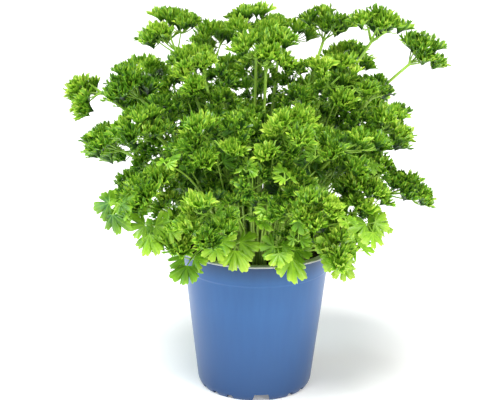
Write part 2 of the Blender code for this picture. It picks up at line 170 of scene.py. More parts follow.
def makeLeafLamina():
    # Leaf lamina: waxy skin over soft green tissue. It glints a little and glows where lit from behind.
    look = leafLook
    material, tree = newMaterial("parsley leaf lamina")
    tone = addNode(tree, "ShaderNodeAttribute", attribute_name="tone").outputs["Fac"]
    warmth = addNode(tree, "ShaderNodeAttribute", attribute_name="warmth").outputs["Fac"]
    place = addNode(tree, "ShaderNodeTexCoord").outputs["Object"]
    grain = {"Scale": 1 / (look["mottle"] * mm), "Detail": 3.0, "Roughness": 0.6}
    mottle = addNode(tree, "ShaderNodeTexNoise", grain, {"Vector": place})
    share = look["mottleShare"]
    shifted = addNode(tree, "ShaderNodeMath", {1: share}, {0: mottle, 2: tone}, operation="MULTIPLY_ADD")
    level = addNode(tree, "ShaderNodeMath", {1: share / 2}, {0: shifted}, operation="SUBTRACT")
    cool, warm = [
        addNode(tree, "ShaderNodeValToRGB", links={"Fac": level}, stops=list(zip((0.0, 0.5, 1.0), look[key])))
        for key in ("cool", "warm")
    ]
    colour = addNode(tree, "ShaderNodeMix", links={0: warmth, 6: cool, 7: warm}, data_type="RGBA")
    cells = addNode(tree, "ShaderNodeTexVoronoi", {"Scale": 1 / (look["cell"] * mm)}, {"Vector": place})
    bump = addNode(tree, "ShaderNodeBump", {"Strength": 0.25, "Distance": 0.08 * mm}, {"Height": cells})
    skin = addNode(tree, "ShaderNodeBsdfPrincipled", {"Roughness": look["roughness"], "IOR": look["ior"]},
                   {"Base Color": colour.outputs[2], "Normal": bump})
    through = addNode(tree, "ShaderNodeBsdfTranslucent", {"Color": toLinear(look["through"])})
    both = addNode(tree, "ShaderNodeMixShader", {0: look["throughShare"]}, {1: skin, 2: through})
    addNode(tree, "ShaderNodeOutputMaterial", links={"Surface": both})
    return material


stalkLook = {
    "stops": ((0.12, "#C2D480"), (0.45, "#9AC044"), (1.0, "#94C042")),    # blanched where it leaves the peat
    "roughness": 0.38,
    "ior": 1.42,
    "streak": 0.45,            # mm across, strands run along the stalk
    "streakRun": 0.06,
    "streakShare": 0.25,
}


def makeStalkSkin():
    # Leaf stalk: ridged, juicy and pale, with a soft sheen along the ridges.
    look = stalkLook
    material, tree = newMaterial("parsley stalk skin")
    tone = addNode(tree, "ShaderNodeAttribute", attribute_name="tone").outputs["Fac"]
    place = addNode(tree, "ShaderNodeTexCoord").outputs["Object"]
    run = {1: (1.0, 1.0, look["streakRun"])}
    stretch = addNode(tree, "ShaderNodeVectorMath", run, {0: place}, operation="MULTIPLY")
    grain = {"Scale": 1 / (look["streak"] * mm), "Detail": 2.0}
    streaks = addNode(tree, "ShaderNodeTexNoise", grain, {"Vector": stretch})
    share = {1: look["streakShare"]}
    level = addNode(tree, "ShaderNodeMath", share, {0: streaks, 2: tone}, operation="MULTIPLY_ADD")
    colour = addNode(tree, "ShaderNodeValToRGB", links={"Fac": level}, stops=look["stops"])
    bump = addNode(tree, "ShaderNodeBump", {"Strength": 0.2, "Distance": 0.1 * mm}, {"Height": streaks})
    skin = addNode(tree, "ShaderNodeBsdfPrincipled", {"Roughness": look["roughness"], "IOR": look["ior"]},
                   {"Base Color": colour, "Normal": bump})
    addNode(tree, "ShaderNodeOutputMaterial", links={"Surface": skin})
    return material


foliage = (makeLeafLamina(), makeStalkSkin())
print("foliage materials made")


# Growth: where the heads, forks and roots are. Lengths in mm, as on the solids.

plant = {
    "soilTop": 108.0,
    "holeDepth": 9.0,
    "rootGap": 0.5,
    "rootSpread": 46.0,
    "rootSpacing": 8.0,
    "fullLean": 80.0,
    "collar": 1.0,
    "stalkBends": 3,
    "bendHeight": 0.45,
    "bendOut": 0.08,
    "rimBendHeight": 33.2,
    "rimBendOut": 12.0,
    "forkDrop": 0.46,
    "leafBack": 0.26,
    "leafletLift": 0.12,
    "leafLean": 54.0,
    "spreadSteps": 90,
    "headShare": 0.58,
    "headDepth": 0.34,
    "headPush": 0.25,
    "stalkPush": 0.12,
    "homePull": 0.03,
    "stalkClearance": 3.0,
    "coneTop": 0.25,
    "coneFoot": 0.5,
    "coneStart": 0.3,
    "coneGrowth": 1.6,
    "seed": 7,
}

# middle x, y, z and width of each curly head, and how far it faces outwards
curlyHeads = (
    (-68, 20, 286, 62, 0.20),
    (-4, 10, 292, 60, 0.05),
    (52, 28, 290, 42, 0.15),
    (90, -8, 296, 44, 0.20),
    (133, 26, 268, 46, 0.45),
    (-92, -16, 256, 50, 0.40),
    (-44, -46, 262, 54, 0.45),
    (8, -52, 268, 56, 0.40),
    (58, -42, 258, 52, 0.45),
    (88, -40, 236, 44, 0.50),
    (-141, 2, 234, 44, 0.95),
    (-100, 34, 226, 42, 0.40),
    (-76, -58, 232, 46, 0.55),
    (-34, -88, 228, 54, 0.60),
    (18, -90, 228, 56, 0.60),
    (68, -76, 214, 46, 0.60),
    (100, -2, 204, 42, 0.55),
    (-120, -14, 206, 46, 0.60),
    (-80, -76, 184, 46, 0.65),
    (-46, -104, 178, 50, 0.70),
    (44, -106, 184, 50, 0.70),
    (80, -66, 176, 40, 0.65),
    (108, -30, 184, 48, 0.65),
    (-58, -82, 152, 38, 0.75),
    (52, -96, 158, 36, 0.80),
    (72, -58, 152, 34, 0.75),
    (-36, 60, 270, 54, 0.35),
    (20, 70, 272, 52, 0.30),
    (62, 62, 260, 46, 0.40),
    (-94, 66, 246, 50, 0.50),
    (-12, 98, 246, 56, 0.50),
    (50, 102, 226, 54, 0.55),
    (90, 58, 224, 46, 0.55),
    (-68, 106, 208, 54, 0.60),
    (-112, 52, 190, 46, 0.65),
    (-14, 112, 188, 54, 0.65),
    (86, 94, 180, 50, 0.65),
    (-76, 90, 158, 44, 0.75),
    (28, 110, 152, 44, 0.75),
)

# middle x, y, z and width of each older leaf at the rim, and the way it faces in degrees from the front
rimLeaves = (
    (-103, -28, 152, 34, -30),
    (-76, -50, 135, 32, -25),
    (-42, -74, 120, 34, -15),
    (-16, -80, 128, 36, 0),
    (22, -82, 127, 38, 8),
    (56, -72, 128, 32, 25),
    (77, -48, 142, 32, 40),
    (-88, 34, 132, 34, -120),
    (48, 78, 130, 36, 150),
)


soilMiddle = up * plant["soilTop"] * mm


def outward(point):
    return Vector((point.x, point.y, 0.0)).normalized()


def wayFrom(turn):
    # level, and turned by so many degrees from the front
    angle = math.radians(turn)
    return Vector((math.sin(angle), -math.cos(angle), 0.0))


def turned(side, other, angle):
    return side * math.cos(angle) + other * math.sin(angle)


def levelFrame(axis):
    side = axis.cross(Vector((0.22, 0.97, 0.12))).normalized()
    return side, axis.cross(side).normalized()


def listHeads():
    heads = []
    for number, (x, y, z, width, facing) in enumerate(curlyHeads, 1):
        heads.append({"name": f"frond_{number:02d}", "curly": True, "width": width * mm,
                      "lean": math.radians(90.0) * facing, "middle": Vector((x, y, z)) * mm})
    for number, (x, y, z, width, turn) in enumerate(rimLeaves, 1):
        heads.append({"name": f"rim_leaf_{number:02d}", "curly": False, "width": width * mm,
                      "lean": math.radians(plant["leafLean"]), "middle": Vector((x, y, z)) * mm,
                      "facing": wayFrom(turn)})
    for number, head in enumerate(heads):
        head["seed"] = plant["seed"] + number
        head["home"] = head["middle"].copy()
    return heads


def placeStalk(head):
    middle = head["middle"]
    side = outward(middle)
    facing = head.get("facing", side)
    axis = facing * math.sin(head["lean"]) + up * math.cos(head["lean"])
    way = middle - soilMiddle
    lean = math.atan2(Vector((way.x, way.y)).length, way.z)
    reach = plant["rootSpread"] * mm * min(1.0, lean / math.radians(plant["fullLean"]))
    root = soilMiddle + side * reach + head.get("rootShift", Vector())
    if head["curly"]:
        fork = middle - axis * head["width"] * plant["forkDrop"]
        rise = (fork - root).length
        bend = root + up * rise * plant["bendHeight"] + side * rise * plant["bendOut"]
    else:
        tip = facing * math.cos(head["lean"]) - up * math.sin(head["lean"])
        fork = middle - (tip * plant["leafBack"] + axis * plant["leafletLift"]) * head["width"]
        bend = root + up * plant["rimBendHeight"] * mm + side * plant["rimBendOut"] * mm
    path = [root - up * (plant["holeDepth"] - plant["rootGap"]) * mm, root + up * plant["collar"] * mm]
    for step in range(1, plant["stalkBends"] + 1):
        share = step / plant["stalkBends"]
        path.append(root.lerp(bend, share).lerp(bend.lerp(fork, share), share))
    head.update(axis=axis, root=root, path=path, bend=bend, fork=fork)


def stalkSamples(head):
    path = head["path"][1:] + [head["middle"]]
    return [low.lerp(high, share) for low, high in zip(path, path[1:]) for share in (0.0, 0.25, 0.5, 0.75)]


def headPush(one, two):
    apart = two["middle"] - one["middle"]
    axis = (one["axis"] + two["axis"]).normalized()
    along = apart.dot(axis)
    level = apart - axis * along
    reach = (one["width"] + two["width"]) * plant["headShare"]
    depth = (one["width"] + two["width"]) * plant["headDepth"]
    closeness = math.hypot(level.length / reach, along / depth)
    if closeness >= 1.0:
        return None
    return level.normalized() * reach * (1.0 - closeness)


def stalkPush(head, samples):
    width = head["width"]
    most = None
    for point in samples:
        apart = point - head["middle"]
        along = apart.dot(head["axis"])
        if not -plant["coneFoot"] * width < along < plant["coneTop"] * width:
            continue
        level = apart - head["axis"] * along
        opening = plant["coneStart"] + (along / width + plant["coneFoot"]) * plant["coneGrowth"]
        reach = width * plant["headShare"] * min(1.0, opening)
        short = reach + plant["stalkClearance"] * mm - level.length
        if short > 0.0 and (most is None or short > most.length):
            most = level.normalized() * short
    return most


def spreadHeads(heads):
    for head in heads:
        placeStalk(head)
    for _ in range(plant["spreadSteps"]):
        shifts = [(head["home"] - head["middle"]) * plant["homePull"] for head in heads]
        samples = [stalkSamples(head) for head in heads]
        for one, head in enumerate(heads):
            for two, other in enumerate(heads):
                if one == two:
                    continue
                push = headPush(head, other) if one < two else None
                if push:
                    shifts[one] -= push * plant["headPush"]
                    shifts[two] += push * plant["headPush"]
                push = stalkPush(head, samples[two])
                if push:
                    shifts[one] -= push * plant["stalkPush"]
                    shifts[two] += push * plant["stalkPush"]
        for head, shift in zip(heads, shifts):
            head["middle"] += shift
            placeStalk(head)


def spreadRoots(heads):
    spread = plant["rootSpread"] * mm
    roots = [head["root"].copy() for head in heads]
    for _ in range(plant["spreadSteps"]):
        for one in range(len(roots)):
            for two in range(one):
                apart = roots[two] - roots[one]
                short = plant["rootSpacing"] * mm - apart.length
                if short > 0.0:
                    roots[two] += apart.normalized() * short / 2
                    roots[one] -= apart.normalized() * short / 2
            reach = (roots[one] - soilMiddle).length
            if reach > spread:
                roots[one] = soilMiddle.lerp(roots[one], spread / reach)
    for head, root in zip(heads, roots):
        head["rootShift"] = root - head["root"]
        placeStalk(head)


heads = listHeads()
spreadHeads(heads)
spreadRoots(heads)
print("growth worked out for", len(heads), "stalks")


# Leaf surfaces are grids of points, gathered here and made into one mesh for each frond.

def newGrowth():
    return {"points": [], "faces": [], "tone": [], "warmth": [], "slots": [], "size": 0}


def addGrid(growth, grid, tone, warmth, slot, closed=False):
    # grid is patches x rows x columns x 3; a closed one joins its last column to its first
    patches, rows, columns = grid.shape[:3]
    index = np.arange(patches * rows * columns).reshape(patches, rows, columns) + growth["size"]
    if closed:
        index = np.concatenate((index, index[:, :, :1]), axis=2)
    quads = np.stack((index[:, :-1, :-1], index[:, :-1, 1:], index[:, 1:, 1:], index[:, 1:, :-1]), axis=-1)
    quads = quads.reshape(-1, 4)
    growth["points"].append(grid.reshape(-1, 3))
    growth["faces"].append(quads)
    growth["tone"].append(np.broadcast_to(tone, grid.shape[:3]).reshape(-1))
    growth["warmth"].append(np.broadcast_to(warmth, grid.shape[:3]).reshape(-1))
    growth["slots"].append(np.full(len(quads), slot, dtype=np.int32))
    growth["size"] += patches * rows * columns


def finishFoliage(name, growth, replaced=()):
    points = np.concatenate(growth["points"]).astype(np.float32)
    faces = np.concatenate(growth["faces"]).astype(np.int32)
    mesh = bpy.data.meshes.new(name)
    mesh.vertices.add(len(points))
    mesh.vertices.foreach_set("co", points.ravel())
    mesh.loops.add(faces.size)
    mesh.loops.foreach_set("vertex_index", faces.ravel())
    mesh.polygons.add(len(faces))
    mesh.polygons.foreach_set("loop_start", np.arange(len(faces), dtype=np.int32) * 4)
    mesh.polygons.foreach_set("material_index", np.concatenate(growth["slots"]))
    for key in ("tone", "warmth"):
        values = np.concatenate(growth[key]).astype(np.float32)
        mesh.attributes.new(key, "FLOAT", "POINT").data.foreach_set("value", values)
    mesh.update(calc_edges=True)
    mesh.validate()
    mesh.shade_smooth()
    newPiece(name, mesh, foliage, replaced)
    return len(mesh.polygons)


def smooth(low, high, value):
    share = np.clip((value - low) / (high - low), 0.0, 1.0)
    return share * share * (3.0 - 2.0 * share)


def spaced(values, count):
    return np.interp(np.linspace(0.0, 1.0, count), np.linspace(0.0, 1.0, len(values)), values)


stalkShape = {          # radii in mm
    "foot": 1.45,
    "fork": 1.05,
    "crown": (0.945, 0.70),
    "branch": (0.72, 0.45),
    "twig": (0.45, 0.36),
    "ridges": 7,
    "ridgeDepth": 0.10,
    "sides": 14,
    "sheath": 1.35,     # times the radius, at the peat
    "steps": 22,
    "young": 2.0,       # mm that a young stalk goes into the peat
}


def curvedPath(start, bend, end, count):
    shares = [step / (count - 1) for step in range(count)]
    return [start.lerp(bend, share).lerp(bend.lerp(end, share), share) for share in shares]


def addTube(growth, path, radii, sides, tones, warmth, ridged=False):
    # A tube along a path, closed by drawing its last ring in to the end point. Its radii in mm and its
    # tones are spaced out evenly along it.
    spine = np.array([tuple(point) for point in path])
    radii = spaced(radii, len(path)) * mm
    tones = spaced(tones, len(path))
    way = np.gradient(spine, axis=0)
    way /= np.linalg.norm(way, axis=1, keepdims=True)
    side = np.cross(way, (0.31, 0.95, 0.05))
    side /= np.linalg.norm(side, axis=1, keepdims=True)
    other = np.cross(way, side)
    angle = np.arange(sides) * math.tau / sides
    wide = radii[:, None] * np.ones(sides)
    if ridged:
        wide = wide * (1.0 + stalkShape["ridgeDepth"] * np.cos(angle * stalkShape["ridges"]))
    ring = side[:, None] * np.cos(angle)[None, :, None] + other[:, None] * np.sin(angle)[None, :, None]
    grid = spine[:, None] + ring * wide[:, :, None]
    end = spine[-1] + way[-1] * radii[-1] * 0.5 + ring[-1] * radii[-1] * 0.05
    grid = np.concatenate((grid, end[None]), axis=0)
    tone = np.concatenate((tones, tones[-1:]))[None, :, None]
    addGrid(growth, grid[None], tone, warmth, 1, closed=True)


def addStalk(growth, head, thickness, tone, warmth):
    # It stands in its hole in the peat, sheathed at the foot. What it gives back is its last stretch.
    path = [head["path"][0], head["root"] + up * plant["collar"] * mm]
    path += curvedPath(head["root"], head["bend"], head["fork"], stalkShape["steps"])[1:]
    radii = np.linspace(stalkShape["foot"], stalkShape["fork"] * thickness, len(path))
    radii[:2] *= stalkShape["sheath"]
    radii[2] *= (1 + stalkShape["sheath"]) / 2
    tones = np.concatenate(([0.0, 0.0], np.linspace(0.05, tone, len(path) - 2)))
    addTube(growth, path, radii, stalkShape["sides"], tones, warmth, ridged=True)
    return head["fork"] - path[-2]


def addYoungStalk(growth, root, bend, fork, count, radii, sides, warmth):
    path = [root - up * stalkShape["young"] * mm] + curvedPath(root, bend, fork, count)
    addTube(growth, path, radii, sides, (0.0, 0.55), warmth)
    return fork - path[-2]


# A curled leaf segment is a fan: a smooth funnel whose rim parts into narrow, blunt lobes that stand up.
# An inner ring of lobes fills the funnel, as the curled edge does.

fanShape = {
    "outer": 13,
    "inner": 6,
    "wide": 1.0,
    "rows": (0.0, 0.34, 0.60, 0.74, 0.89, 1.0),
    "halfWidths": (0.012, 0.064, 0.118, 0.088, 0.112, 0.104),   # shares of the lobe's length
    "columns": (-1.0, -0.5, 0.0, 0.5, 1.0),
    "outlines": ((0.82, 0.99, 0.86, 1.0, 0.78), (0.84, 1.0, 0.87, 0.96, 0.80), (0.78, 0.94, 0.84, 1.0, 0.84)),
    "upward": 0.70,                        # how strongly fans turn up to the light
    "startTilt": 16.0,                     # degrees from the fan's axis
    "funnelTilts": (54.0, 30.0),           # of the outer and the inner ring
    "lobeTilts": ((58.0, 6.0), (24.0, -12.0)),
    "fold": 0.46,
    "ruffle": 0.34,
    "twist": 42.0,
    "unevenness": 0.14,                    # of the spacing round the funnel
    "squash": (0.72, 1.0),                 # fans are seldom round
    "lobeTiltSpread": 20.0,
    "lengths": (0.80, 1.14),
    "widths": (0.85, 1.15),
    "throat": -0.08,        # tone at the bottom of the funnel, painted shade
    "rise": 0.52,           # how much lighter the tips are, painted light
    "rim": 0.84,            # how much lighter the edges are, a painted highlight
    "patchiness": 0.16,     # how much lobes differ in tone
    "samples": 13,
}


def addFan(growth, base, axis, length, rng, warmth, light, **changes):
    f = {**fanShape, **changes}
    outer = f["outer"]
    inner = f["inner"]
    count = outer + inner
    steps = f["samples"]
    side, other = levelFrame(axis)
    side, other, axis = np.array(side), np.array(other), np.array(axis)
    ring = np.repeat((0, 1), (outer, inner))
    place = np.concatenate((np.arange(outer) / outer, (np.arange(inner) + 0.5) / inner))
    spacing = np.repeat((1 / outer, 1 / inner), (outer, inner))
    first = rng.uniform(0, 1)
    uneven = spacing * rng.uniform(-f["unevenness"], f["unevenness"], count)
    phi = (first + place + uneven) * math.tau
    squash = rng.uniform(*f["squash"])
    flat = rng.uniform(0, math.tau)
    radial = np.cos(phi)[:, None] * side + np.sin(phi)[:, None] * other
    tangent = -np.sin(phi)[:, None] * side + np.cos(phi)[:, None] * other
    start = math.radians(f["startTilt"])
    squashed = 1.0 - (1.0 - squash) * np.cos(phi - flat) ** 2
    funnel = np.radians(np.array(f["funnelTilts"])[ring]) * squashed
    lobeTilts = np.array(f["lobeTilts"])[ring, np.arange(count) % 2]
    end = np.radians(lobeTilts + rng.uniform(-f["lobeTiltSpread"], f["lobeTiltSpread"], count))
    long = length * rng.uniform(*f["lengths"], count)
    share = np.linspace(0.0, 1.0, steps)
    tilt = start + (funnel - start)[:, None] * smooth(0.0, 0.40, share)
    tilt = tilt + (end - funnel)[:, None] * smooth(0.52, 0.92, share)
    run = np.stack((np.sin(tilt), np.cos(tilt)), axis=-1) * long[:, None, None] / (steps - 1)
    climb = np.cumsum((run[:, 1:] + run[:, :-1]) / 2, axis=1)
    spine = np.concatenate((np.zeros((count, 1, 2)), climb), axis=1)
    rows = np.array(f["rows"])
    columns = np.array(f["columns"])
    outline = np.array(f["outlines"])[rng.integers(0, len(f["outlines"]), count)]
    cut = 1.0 - (1.0 - outline)[:, None, :] * smooth(0.58, 1.0, rows)[None, :, None]
    spot = rows[None, :, None] * cut * (steps - 1)
    low = np.minimum(spot.astype(int), steps - 2)
    part = (spot - low)[..., None]
    lobe = np.arange(count)[:, None, None]
    along = spine[lobe, low] * (1 - part) + spine[lobe, low + 1] * part
    lean = tilt[lobe, low] * (1 - part[..., 0]) + tilt[lobe, low + 1] * part[..., 0]
    inward = axis * np.sin(lean)[..., None] - radial[:, None, None] * np.cos(lean)[..., None]
    free = smooth(0.54, 0.84, rows)[None, :, None]
    twist = np.radians(f["twist"]) * rng.uniform(-1.0, 1.0, count)[:, None, None] * free
    across = tangent[:, None, None] * np.cos(twist)[..., None] + inward * np.sin(twist)[..., None]
    over = inward * np.cos(twist)[..., None] - tangent[:, None, None] * np.sin(twist)[..., None]
    broad = f["wide"] * long * rng.uniform(*f["widths"], count)
    half = np.array(f["halfWidths"])[None, :, None] * broad[:, None, None]
    wave = np.sin(columns * math.pi * 1.5 + rng.uniform(0, math.tau, count)[:, None])[:, None, :]
    rise = half * (f["fold"] * np.abs(columns) + f["ruffle"] * wave) * free
    points = np.array(base) + radial[:, None, None] * along[..., :1] + axis * along[..., 1:]
    points = points + across * (half * columns)[..., None] + over * rise[..., None]
    edge = np.abs(columns)[None, None, :] ** 2.5
    # painted shade in the funnel's throat, painted light on the tips and painted highlights on the edges
    tone = f["throat"] + light + f["rise"] * (rows ** 1.3)[None, :, None]
    patches = rng.uniform(-f["patchiness"], f["patchiness"], count)[:, None, None]
    tone = tone + f["rim"] * edge * rows[None, :, None] + patches
    addGrid(growth, points, tone, warmth, 0)


curlyShape = {
    "fanLength": 13.5,      # mm
    "fanArea": 100.0,       # square mm of the head for each fan
    "level": 0.95,          # how far a head turns level, like an umbrella
    "levels": {5: 0.55, 11: 0.15, 18: 0.60, 19: 0.90, 23: 0.50},
    "reach": 0.41,          # shares of the head's width from here
    "rise": 0.10,
    "dome": 0.24,
    "jitter": 0.045,
    "gather": 0.40,         # how far fans draw together over their branch
    "unevenness": 0.13,     # how far branches differ in height and reach
    "loose": {7: 1.4, 8: 1.3, 9: 1.4, 14: 1.6, 15: 1.7, 16: 1.5, 20: 1.7, 21: 1.7},
    "tightest": 0.7,        # gather of the loosest
    "outTilt": 42.0,        # degrees
    "branches": 5,
    "branchReach": 0.20,
    "branchDrop": 0.20,
    "branchFoot": 0.15,     # how far up the crown every second branch starts
    "branchBend": 0.55,
    "branchSag": 0.03,
    "shiftUp": (-1.3, 0.9), # of a branch's fans, times the unevenness
    "shiftOut": (-0.8, 1.0),
    "shades": (-0.14, 0.12),
    "crownFoot": 0.2,       # how much of the stalk's last stretch the crown overlaps
    "crownDrop": 0.12,
    "fanTurns": 0.3,        # radians, either way
    "fanLengths": (0.82, 1.20),
    "fanTints": 0.12,       # how much fans differ in yellow, then in shade
    "fanShades": (-0.20, 0.18),
    "fanSink": 0.6,         # of a fan's length
    "centreReach": 0.62,    # where a branch's fans draw together, shares of reach and dome
    "centreDrop": 0.4,
    "crownFans": 0.12,      # share of the fans that stand on the crown itself
    "lowerBelow": 245.0,    # mm, only heads below this height have more fans under the umbrella
    "lowerArea": 420.0,
    "lowerReach": (0.18, 0.30),
    "lowerDrop": (0.0, 0.12),
    "lowerFoot": 0.25,
    "lowerOut": 0.8,
    "lowerLengths": (0.75, 1.0),
    # painted shade of the fans under the umbrella
    "lowerShade": 0.12,
}

# how much lighter or darker a frond is than the rest, and how yellow; 0 stands for all others. The lightness
# is partly painted shade and painted light, for fronds that stand in shade or in the light.
frondTints = {
    0: (0.02, 0.30),
    1: (0.06, 0.34), 2: (0.02, 0.30), 5: (-0.02, 0.20), 6: (-0.12, 0.08), 7: (0.05, 0.34), 8: (0.03, 0.30),
    9: (0.05, 0.36), 11: (0.10, 0.45), 12: (-0.16, 0.02), 13: (0.02, 0.26), 14: (0.03, 0.30),
    15: (0.07, 0.40), 16: (0.00, 0.22), 18: (0.00, 0.22), 20: (0.03, 0.34), 21: (0.04, 0.34),
    23: (-0.04, 0.16),
}


def addTwigAndFan(growth, start, spot, way, length, rng, warmth, light):
    bend = start.lerp(spot, 0.5) - way * length * 0.15
    twig = curvedPath(start, bend, spot + way * length * 0.10, 5)
    addTube(growth, twig, stalkShape["twig"], 6, (0.7, 0.95), warmth)
    tint = warmth + rng.uniform(-curlyShape["fanTints"], curlyShape["fanTints"])
    shade = light + rng.uniform(*curlyShape["fanShades"])
    addFan(growth, spot, way, length, rng, tint, shade)


def makeCurlyFrond(head):
    c = curlyShape
    number = int(head["name"][-2:])
    rng = np.random.default_rng(head["seed"])
    growth = newGrowth()
    width = head["width"]
    middle = head["middle"]
    fork = head["fork"]
    axis = (head["axis"] + up * c["levels"].get(number, c["level"])).normalized()
    side, other = levelFrame(axis)
    turn = rng.uniform(0.0, math.tau)
    loose = c["loose"].get(number, 1.0)
    light, warmth = frondTints.get(number, frondTints[0])
    last = addStalk(growth, head, 1.0, 0.62, warmth)
    crownEnd = middle - axis * width * c["crownDrop"]
    crown = curvedPath(fork - last * c["crownFoot"], fork.lerp(crownEnd, 0.5), crownEnd, 6)
    addTube(growth, crown, stalkShape["crown"], 10, (0.62, 0.8), warmth)
    ends = []
    for index in range(c["branches"]):
        level = turned(side, other, turn + math.tau * (index + rng.uniform(-0.15, 0.15)) / c["branches"])
        end = middle + (level * c["branchReach"] - axis * c["branchDrop"]) * width
        foot = fork.lerp(crownEnd, c["branchFoot"] * (index % 2))
        bend = foot.lerp(end, c["branchBend"]) - axis * width * c["branchSag"]
        addTube(growth, curvedPath(foot, bend, end, 8), stalkShape["branch"], 8, (0.62, 0.8), warmth)
        shift = axis * rng.uniform(*c["shiftUp"]) + level * rng.uniform(*c["shiftOut"])
        ends.append((level, end, shift * c["unevenness"] * loose * width, rng.uniform(*c["shades"])))
    area = math.pi * (width / mm / 2) ** 2
    count = round(area / c["fanArea"])
    for index in range(count):
        share = (index + 0.5) / count
        angle = turn + index * goldenAngle + rng.uniform(-c["fanTurns"], c["fanTurns"])
        level = turned(side, other, angle)
        reach = c["reach"] * math.sqrt(share) + rng.uniform(-c["jitter"], c["jitter"])
        height = c["rise"] - c["dome"] * share + rng.uniform(-c["jitter"], c["jitter"])
        tilt = math.radians(c["outTilt"]) * share ** 0.7
        way = (turned(axis, level, tilt) + up * fanShape["upward"]).normalized()
        length = c["fanLength"] * mm * rng.uniform(*c["fanLengths"])
        sink = way * length * c["fanSink"]
        spot = middle + (level * reach + axis * height) * width - sink
        if share > c["crownFans"]:
            out, end, shift, shade = max(ends, key=lambda item: item[0].dot(level))
            centre = out * c["reach"] * c["centreReach"] - axis * c["dome"] * c["centreDrop"]
            gather = min(c["tightest"], c["gather"] * loose)
            spot = spot.lerp(middle + centre * width - sink, gather) + shift
            addTwigAndFan(growth, end, spot, way, length, rng, warmth, light + shade)
        else:
            addTwigAndFan(growth, crownEnd, spot, way, length, rng, warmth, light)
    if middle.z < c["lowerBelow"] * mm and number not in c["levels"]:
        for index in range(round(area / c["lowerArea"])):
            level, end = ends[index % len(ends)][:2]
            foot = fork.lerp(end, c["lowerFoot"])
            reach = level * rng.uniform(*c["lowerReach"])
            spot = foot + (reach - axis * rng.uniform(*c["lowerDrop"])) * width
            way = (level * c["lowerOut"] + up).normalized()
            length = c["fanLength"] * mm * rng.uniform(*c["lowerLengths"])
            addTwigAndFan(growth, foot, spot, way, length, rng, warmth, light - c["lowerShade"])
    return finishFoliage(f"parsleyFrond{number:02d}", growth, [head["name"]])


# An older leaf is three flat leaflets, each a fan of three cut lobes with rounded teeth.

flatShape = {
    "leaflets": ((0.0, 0.28, 0.44), (80.0, 0.17, 0.40), (-80.0, 0.17, 0.40)),     # turn, reach and size
    "spread": 96.0,        # degrees to each side of the tip
    "lobe": 46.0,          # degrees between lobes
    "cutDepths": (0.52, 0.34),      # next to the middle lobe, and further out
    "cutWidth": 3.8,       # degrees
    "toothDepth": 0.13,
    "roundness": 0.20,
    "perTooth": 6,
    "rows": (0.02, 0.14, 0.30, 0.46, 0.62, 0.76, 0.88, 1.0),
    "droop": 0.24,
    "rimLift": 0.30,
    "fold": 0.05,
    "wave": 0.13,
    "vein": 0.24,
    "tone": 0.30,
    "rise": 0.36,          # how much lighter the edge is
    "patchiness": 0.14,
    "leanAlong": 0.30,     # how unevenly leaflets lean and point
    "leanAcross": 0.35,
    "swing": 0.25,
    "back": 0.06,          # how far they start behind the fork, in shares of the leaf's width
    "sizes": (0.88, 1.08),
    "twig": (0.62, 0.40),  # mm
}

# the same for each older leaf
rimTints = {
    1: (-0.14, 0.85), 2: (-0.06, 0.75), 3: (0.00, 0.50), 4: (-0.02, 0.80), 5: (-0.10, 0.72), 6: (0.00, 0.66),
    7: (0.00, 0.60), 8: (-0.06, 0.40), 9: (0.02, 0.60),
}


def addFlatLeaflet(growth, foot, base, way, face, radius, rng, warmth, light, **changes):
    f = {**flatShape, **changes}
    side = face.cross(way).normalized()
    step = f["lobe"] / 3 / f["perTooth"]
    turns = np.arange(-f["spread"], f["spread"] + step, step)
    warp = turns + rng.uniform(-5.0, 5.0) + 3.0 * np.sin(np.radians(turns) * 3.0 + rng.uniform(0, math.tau))
    lobe = np.round(warp / f["lobe"])
    nearest = np.abs(warp - lobe * f["lobe"])
    depth = np.where(np.abs(warp) < f["lobe"], f["cutDepths"][0], f["cutDepths"][1])
    cuts = 1.0 - depth * np.exp(-((f["lobe"] / 2 - nearest) / f["cutWidth"]) ** 2)
    teeth = 1.0 - f["toothDepth"] * (1.0 - np.abs(np.cos(np.pi * warp * 3 / f["lobe"])) ** 0.5)
    rounded = 1.0 - f["roundness"] * (nearest / (f["lobe"] / 2)) ** 2
    reach = cuts * teeth * rounded * (1.0 - 0.13 * (1.0 - np.cos(np.radians(turns))))
    reach = reach * (1.0 - 0.6 * smooth(f["spread"] - 16.0, f["spread"], np.abs(turns)))
    reach = reach * (1.0 + 0.06 * np.sin(np.radians(turns) * 2.3 + rng.uniform(0, math.tau)))
    rows = np.array(f["rows"])[:, None]
    angle = np.radians(turns)[None, :]
    out = radius * reach[None, :] * (1.0 - (1.0 - rows) ** (1.0 / reach[None, :]))   # no cuts near the base
    rise = radius * (
        -f["droop"] * rng.uniform(0.2, 1.5) * rows ** 2
        - f["fold"] * (nearest / (f["lobe"] / 2))[None, :] ** 2 * rows
        + f["wave"] * rows ** 2 * np.sin(angle * 2.0 + rng.uniform(0, math.tau))
        + f["wave"] * rows ** 3 * np.sin(angle * 7.0 + rng.uniform(0, math.tau)) * 0.6
    )
    way, side, face = np.array(way), np.array(side), np.array(face)
    turns = np.cos(angle)[..., None] * way + np.sin(angle)[..., None] * side
    grid = np.array(base) + out[..., None] * turns + rise[..., None] * face
    vein = np.clip(1.0 - nearest * rows / 2.0, 0.0, 1.0) * (1.0 - 0.7 * rows)
    patch = rng.uniform(-f["patchiness"], f["patchiness"])
    tone = f["tone"] + light + f["rise"] * rows ** 2 + f["vein"] * vein + patch
    addGrid(growth, grid[None], tone[None], warmth, 0)
    addTube(growth, curvedPath(foot, foot.lerp(base, 0.5), base, 5), f["twig"], 6, (0.6,), warmth)


